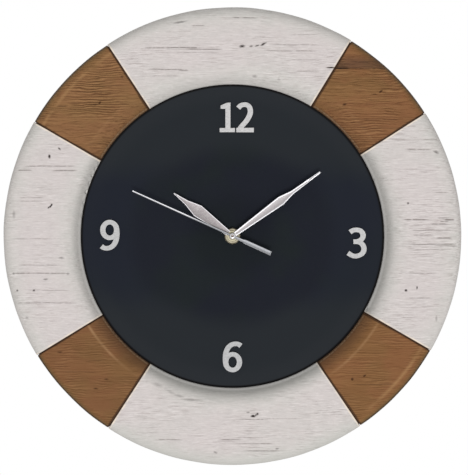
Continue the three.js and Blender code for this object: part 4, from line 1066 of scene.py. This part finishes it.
def bowl(width, grow, past=0):
    """The round of a six or nine: its outside where grow is 1, its hole where grow is -1."""
    x = STEM / 2 + BOWL_MIDDLE[0] * (width - STEM)
    y = BAR / 2 + BOWL_MIDDLE[1] * (ROUND_HEIGHT - BAR)
    wide = BOWL_RADIUS[0] * (width - STEM) + grow * STEM / 2
    tall = BOWL_RADIUS[1] * (ROUND_HEIGHT - BAR) + grow * BAR / 2
    return prism(oval(x, y, wide, tall, 64), NUMERAL_BACK - past, NUMERAL_FRONT + past)


def place_numeral(solid, node, half_turn=False):
    """Moves a numeral to its solid's place, eases its edges and hides the solid that it stands for.
    """
    mesh = solid.data
    low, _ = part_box(node)
    if half_turn:
        for vertex in mesh.vertices:
            vertex.co.x = -vertex.co.x
            vertex.co.z = 2 * AXIS_Z - vertex.co.z
    left = min(vertex.co.x for vertex in mesh.vertices)
    bottom = min(vertex.co.z for vertex in mesh.vertices)
    shift = Vector((low.x - left, 0, low.z - bottom))
    for vertex in mesh.vertices:
        vertex.co += shift
    finish_piece(solid, "numeral_silver", "clock", [node], 30)
    ease_edges(solid, 0.28)


def build_numerals():
    one_width, two_width, three_width, six_width = 13, 14.5, 16.4, 16.1
    outline = [(u * one_width, v * TWELVE_HEIGHT) for u, v in ONE]
    one = flat_solid("raised_1", outline, NUMERAL_BACK, NUMERAL_FRONT)
    place_numeral(one, "numeral_1")
    two = solid_object("raised_2", *stroke(TWO, two_width, TWELVE_HEIGHT))
    foot = block(0, two_width, 0, FOOT, NUMERAL_BACK, NUMERAL_FRONT)
    place_numeral(join(two, foot), "numeral_2")
    three = solid_object("raised_3", *stroke(THREE_UPPER, three_width, ROUND_HEIGHT))
    lower = stroke(THREE_LOWER, three_width, ROUND_HEIGHT)
    place_numeral(join(three, lower), "numeral_3")
    for name, half_turn in (("6", True), ("9", False)):
        digit = solid_object(f"raised_{name}", *bowl(six_width, 1))
        cut(digit, bowl(six_width, -1, past=1))
        join(digit, stroke(NINE_TAIL, six_width, ROUND_HEIGHT))
        place_numeral(digit, f"numeral_{name}", half_turn)


# Hands

BLADE_THICKNESS = 0.52


def half_width(profile, along):
    """Half the width of a blade at a place on it."""
    for (start, first), (end, second) in zip(profile, profile[1:]):
        if along <= end:
            return first + (second - first) * (along - start) / (end - start)
    return profile[-1][1]


def stamped_blade(profile, clockwise, low, thickness, border, shine, bright_from=0):
    """A stamped blade along a [place, half width] profile, with raised bright borders.

    Its painted highlight, partly a smoother finish, takes the first share at its border and the
    second inside it, and fades towards the hub before bright_from.
    """
    start, end = profile[0][0], profile[-1][0]
    corners = [place for place, _ in profile]
    steps = round((end - start) / 1.5)
    places = sorted(set(corners + [start + (end - start) * i / steps for i in range(steps + 1)]))
    high = low + thickness
    layers = (
        (0.08, low, shine[0]),
        (0, low + 0.08, shine[0]),
        (0, high - 0.18, shine[0]),
        (0.12, high - 0.03, shine[0]),
        (border * 0.6, high, shine[0]),
        (border, high - 0.06, shine[1]),
    )
    turn = math.radians(-clockwise)
    points, shares = [], []
    for inset, height, share in layers:
        for side in (1, -1):
            for place in places if side == 1 else reversed(places):
                half = half_width(profile, place)
                across = side * (half - min(inset, half * 0.75))
                along = min(max(place, start + inset), end - inset)
                x = across * math.cos(turn) - along * math.sin(turn)
                y = across * math.sin(turn) + along * math.cos(turn)
                points.append((x, y, height))
                shares.append(share * smooth_step(bright_from / 3 - 1, bright_from, place))
    count = 2 * len(places)
    rows = even_rows(len(layers), count)
    faces = wall_faces(rows)
    for row in (rows[0], rows[-1]):
        for index in range(count // 2 - 1):
            other = count - 1 - index
            faces.append([row[index], row[index + 1], row[other - 1], row[other]])
    return points, faces, shares


def add_hand(name, node, body, blades, hub, hub_share):
    """A hand of stamped blades and a turned hub."""
    points, faces, shares = [], [], []
    hub_points, hub_faces = lathe(hub, sides=72)
    for shell in (*blades, (hub_points, hub_faces, [hub_share] * len(hub_points))):
        faces += [[corner + len(points) for corner in face] for face in shell[1]]
        points += shell[0]
        shares += shell[2]
    hand = add_piece(name, points, faces, "hand_aluminium", body, [node], corner=28)
    add_values(hand, "shine", shares)


def hub_collar(bore, base, rim):
    outside = bore + rim
    profile = [(bore, 0), (outside, 0), (outside, 0.35), (outside - 0.25, 0.6)]
    return raised(profile + [(bore + 0.15, 0.6), (bore, 0.45)], base)


def build_hands():
    base, bore, length = box_of("hour_hand").back, 2.75, 60.2
    profile = [(bore + 0.5, 2.2), (length * 0.59, 5.25), (length * 0.79, 2.0), (length, 0.45)]
    blade = stamped_blade(profile, HOUR_ANGLE, base, BLADE_THICKNESS, 0.8, (0.7, 0))
    collar = hub_collar(bore, base, 1.75)
    add_hand("hour_hand_stamped", "hour_hand", "hours", [blade], collar, -1)

    base, bore, length = box_of("minute_hand").back, 1.9, 90
    profile = [(bore + 0.5, 1.75), (length * 0.553, 3.8), (length * 0.68, 1.6), (length, 0.75)]
    blade = stamped_blade(profile, MINUTE_ANGLE, base, BLADE_THICKNESS, 1.15, (1, 0.2))
    collar = hub_collar(bore, base, 1.1)
    add_hand("minute_hand_stamped", "minute_hand", "minutes", [blade], collar, -0.6)

    base, thickness = SECONDS_BACK, 0.5
    needle = [(1.2, 0.75), (90.8, 0.6)]
    tail = [(1.2, 1.1), (9.5, 1.1), (11.25, 1.75), (35, 1.75)]
    blades = [
        stamped_blade(needle, SECOND_ANGLE, base, thickness, 0.3, (0.68, 0.5), bright_from=48),
        stamped_blade(tail, SECOND_ANGLE + 180, base, thickness, 0.4, (0.3, 0.08)),
    ]
    cap = [(0.65, 0), (2.35, 0), (2.35, 1.1), (2.2, 1.5), (1.85, 1.72), (1.4, 1.8)]
    cap += [(1.05, 1.6), (0.8, 1.2), (0, 1.1), (0, 0.95), (0.65, 0.95)]
    add_hand("second_hand_stamped", "second_hand", "seconds", blades, raised(cap, base), 1)


# Nut, washer and bushing in the middle of the dial


def build_fixing():
    box = box_of("brass_washer")
    washer = [(4.3, box.back), (6.35, box.back), (6.6, box.back + 0.25)]
    washer += [(6.6, box.front - 0.25), (6.35, box.front), (4.45, box.front)]
    washer += [(4.3, box.front - 0.15)]
    add_piece("washer_turned", *lathe(washer), "brass", stands_for=["brass_washer"])

    box = box_of("hex_nut")
    flats, bore = 12.2, 4.15
    corner = flats / math.sqrt(3)
    turns = [math.radians(90 + 60 * side) for side in range(6)]
    hexagon = [(corner * math.cos(turn), corner * math.sin(turn)) for turn in turns]
    crown = [
        (bore + 0.2, box.back),
        (flats / 2, box.back),
        (corner + 0.05, box.back + 0.5),
        (corner + 0.05, box.front - 0.85),
        (flats / 2 - 0.3, box.front),
        (bore + 0.15, box.front),
        (bore, box.front - 0.15),
        (bore, box.back + 0.2),
    ]
    nut = flat_solid("nut_turned", hexagon, box.back, box.front)
    combine(nut, solid_object("crown", *lathe(crown, sides=120)), "INTERSECT")
    finish_piece(nut, "brass", "clock", ["hex_nut"], 30)

    box = box_of("threaded_bushing")
    shoulder = box.back + 0.8
    bushing = [(2.9, box.back), (5.85, box.back), (6, box.back + 0.15)]
    bushing += [(6, shoulder), (3.98, shoulder)]
    bushing += thread(shoulder + 0.4, box.front - 0.6, outside=3.98, root=3.7, pitch=0.6)
    bushing += [(3.98, box.front - 0.4), (3.7, box.front)]
    bushing += [(3.05, box.front), (2.9, box.front - 0.15)]
    add_piece("bushing_turned", *lathe(bushing), "brass", stands_for=["threaded_bushing"])


# Screws, setting knob, back cover and battery


def axis_of(box):
    """Where the axis of a turned solid stands."""
    return (box.left + box.right) / 2, (box.bottom + box.top) / 2


def add_screw(kind, place, head, thread_start, cross_depth):
    """A wood screw, seen from the back: its head, its thread and the cross in its head."""
    node = f"{kind}_screw_{place}"
    box = box_of(node)
    x, y = axis_of(box)
    face, tip = box.back, box.front
    profile = raised(head, face)
    profile += thread(face + thread_start, tip - 2, outside=1.5, root=1.22, pitch=0.7)
    profile += [(1.2, tip - 1.5), (0, tip)]
    shape = lathe(profile, sides=32, middle=(x, y))
    screw = solid_object(f"{kind}_screw_turned_{place}", *shape)
    reach, half = 1.75, 0.5
    for wide, tall in ((reach, half), (half, reach)):
        cut(screw, block(x - wide, x + wide, y - tall, y + tall, face - 1, face + cross_depth))
    finish_piece(screw, "steel", "clock", [node], 35)


def build_screws():
    pan_head = [(0, 0), (1.3, 0.08), (2.3, 0.42), (2.85, 0.95), (3, 1.4), (3, 1.6), (1.5, 1.6)]
    for place, _, _, _ in SEGMENTS:
        add_screw("dial", place, pan_head, 1.9, 1.1)
    sunk_head = [(0, 0), (2.85, 0), (2.92, 0.05), (1.5, 1.5)]
    for place in ("left", "right"):
        add_screw("hanger", place, sunk_head, 2.4, 1.0)


def build_setting_knob():
    box = box_of("setting_knob")
    x, y = axis_of(box)
    flutes, radius, depth = 30, 5.8, 0.16
    outline = []
    for step in range(flutes * 6):
        turn = 2 * math.pi * step / (flutes * 6)
        reach = radius - depth * (1 + math.cos(flutes * turn))
        outline.append((x + reach * math.cos(turn), y + reach * math.sin(turn)))
    knob = flat_solid("setting_knob_fluted", outline, box.back, box.front)
    dish = raised([(0, -1), (4.5, -1), (4.5, 0.1), (4.1, 0.55), (0, 0.55)], box.back)
    cut(knob, lathe(dish, middle=(x, y)))
    boss = raised([(0, 0.15), (1.3, 0.15), (1.6, 0.4), (1.6, 0.8), (0, 0.8)], box.back)
    join(knob, lathe(boss, sides=48, middle=(x, y)))
    finish_piece(knob, "white_plastic", "motion_work", ["setting_knob"], 35)


def build_back_cover():
    """The back cover with its moulded frame, and the marks for the ends of the battery."""
    solid = frame["nodes"]["movement_back_cover"]
    cover = bpy.data.objects.new("back_cover_moulded", solid.data.copy())
    bpy.context.scene.collection.objects.link(cover)
    box = box_of("movement_back_cover")
    face = box.back

    def frame_line(inset, corner):
        left, right = box.left + inset, box.right - inset
        return rounded_box(left, right, box.bottom + inset + 4, box.top - inset, corner)

    relief = flat_solid("relief", frame_line(3, 2.4), face - 0.4, face + 0.2)
    cut(relief, prism(frame_line(3.9, 1.6), face - 1, face + 1))
    knob_clearance = oval(*axis_of(box_of("setting_knob")), 6.5, 6.5, 48)
    cut(relief, prism(knob_clearance, face - 1, face + 1))
    mark_x, mark_y = 20.5, box.bottom + 3.6
    reach, half = 1.6, 0.4
    for x, wide, tall in ((mark_x, reach, half), (mark_x, half, reach), (-mark_x, reach, half)):
        bar = block(x - wide, x + wide, mark_y - tall, mark_y + tall, face - 0.5, face + 0.2)
        join(relief, bar)
    combine(cover, relief, "UNION")
    finish_piece(cover, "black_plastic", "clock", ["movement_back_cover"], 30)
    cover.data.polygons.foreach_set("use_smooth", [False] * len(cover.data.polygons))


def build_battery():
    """The cell, with its crimped can, paper sleeve and raised end to the right."""
    box = box_of("battery")
    left, right = box.left, box.right
    radius = (box.top - box.bottom) / 2
    crimp = radius - 0.08
    end = right - 1
    profile = [
        (0, left + 0.12),
        (4.4, left + 0.12),
        (4.7, left),
        (6.2, left + 0.05),
        (radius - 0.35, left + 0.25),
        (crimp, left + 0.6),
        (crimp, left + 1.5),
        (radius, left + 1.55),
        (radius, end - 1.2),
        (crimp, end - 1.15),
        (crimp, end - 0.7),
        (radius - 0.3, end - 0.25),
        (radius - 0.75, end),
        (radius - 1.2, end - 0.05),
        (radius - 1.5, end - 0.4),
        (3.4, end - 0.4),
        (2.9, end - 0.2),
        (2.75, end + 0.1),
        (2.75, right - 0.3),
        (2.45, right),
        (0, right),
    ]
    middle_y, middle_h = (box.bottom + box.top) / 2, (box.back + box.front) / 2
    points, faces = lathe(profile, sides=72)
    points = [(along, middle_y + a, middle_h + b) for a, b, along in points]
    add_piece("battery_cell", points, faces, "battery_jacket", "battery", ["battery"], 24)


# Finishes and eased edges of the pieces that keep their solids


def dress_solids():
    slots = {row["node"]: row["material_slot"] for row in frame["record"]["subparts"]}
    for name, solid in frame["nodes"].items():
        mesh = solid.data
        mesh.materials.clear()
        mesh.materials.append(FINISHES[slots[name]])
        if solid.hide_render:
            continue
        soften(mesh, 30)
        if name != "dial_plate":
            ease_edges(solid, 0.12)


# Camera, lamps and floor

PHOTO_ROWS = 475
PIXEL = 0.829  # millimetres of the clock in one pixel of the photograph
SCALE_PLANE = 28  # how far out of the wall that holds, in millimetres
PICTURE_MIDDLE = (1.3, -1.15)  # from the hand axis, in millimetres
CAMERA_DISTANCE = 2.0
STUDIO_LIGHT = 0.42  # what the white studio sends to the clock, against 1 where it is seen


def build_studio():
    scene = bpy.context.scene
    scene.view_settings.view_transform = "Standard"
    camera = bpy.data.cameras.new("camera")
    camera.sensor_width = 36
    camera.lens = camera.sensor_width * CAMERA_DISTANCE / (PHOTO_ROWS * PIXEL * MM)
    camera.clip_end = 50
    eye = bpy.data.objects.new("camera", camera)
    eye.location = stand(*PICTURE_MIDDLE, SCALE_PLANE) - Vector((0, CAMERA_DISTANCE, 0))
    eye.rotation_euler = (math.pi / 2, 0, 0)
    scene.collection.objects.link(eye)
    scene.camera = eye

    # The key light is what the photograph shows; the fill only reaches the back and the floor
    for name, strength, spread, towards in (
        ("key", 1.85, 24, (-0.07, 0.93, 0.36)),
        ("fill", 1.1, 60, (0.1, -0.82, -0.56)),
    ):
        light = bpy.data.lights.new(name, "SUN")
        light.energy = strength
        light.angle = math.radians(spread)
        lamp = bpy.data.objects.new(name, light)
        lamp.rotation_mode = "QUATERNION"
        lamp.rotation_quaternion = Vector(towards).to_track_quat("-Z", "Y")
        scene.collection.objects.link(lamp)

    world = bpy.data.worlds.new("studio")
    scene.world = world
    world.use_nodes = True
    sky = Nodes(world.node_tree)
    background = world.node_tree.nodes["Background"]
    sky.feed(background.inputs["Color"], (1, 1, 1, 1))
    seen = sky.ray("Camera").most(sky.ray("Glossy")).most(sky.ray("Transmission"))
    sky.feed(background.inputs["Strength"], STUDIO_LIGHT + seen * (1 - STUDIO_LIGHT))

    paper = Look("pale_paper", (238.6, 238.6, 238.6), 0.9, specular=0.1)
    paper.set("Emission Color", paper.ray("Camera"))
    paper.set("Emission Strength", 0.34)
    floor_mesh = bpy.data.meshes.new("floor")
    floor_height = AXIS_Z - RING_RADIUS * MM - 0.5
    corners = [(-1.6, -0.7), (1.6, -0.7), (1.6, 1.0), (-1.6, 1.0)]
    floor_mesh.from_pydata([(x, y, floor_height) for x, y in corners], [], [[0, 1, 2, 3]])
    floor_mesh.materials.append(paper.material)
    floor = bpy.data.objects.new("floor", floor_mesh)
    scene.collection.objects.link(floor)


build_ring()
build_numerals()
build_hands()
build_fixing()
build_screws()
build_setting_knob()
build_back_cover()
build_battery()
dress_solids()
build_studio()
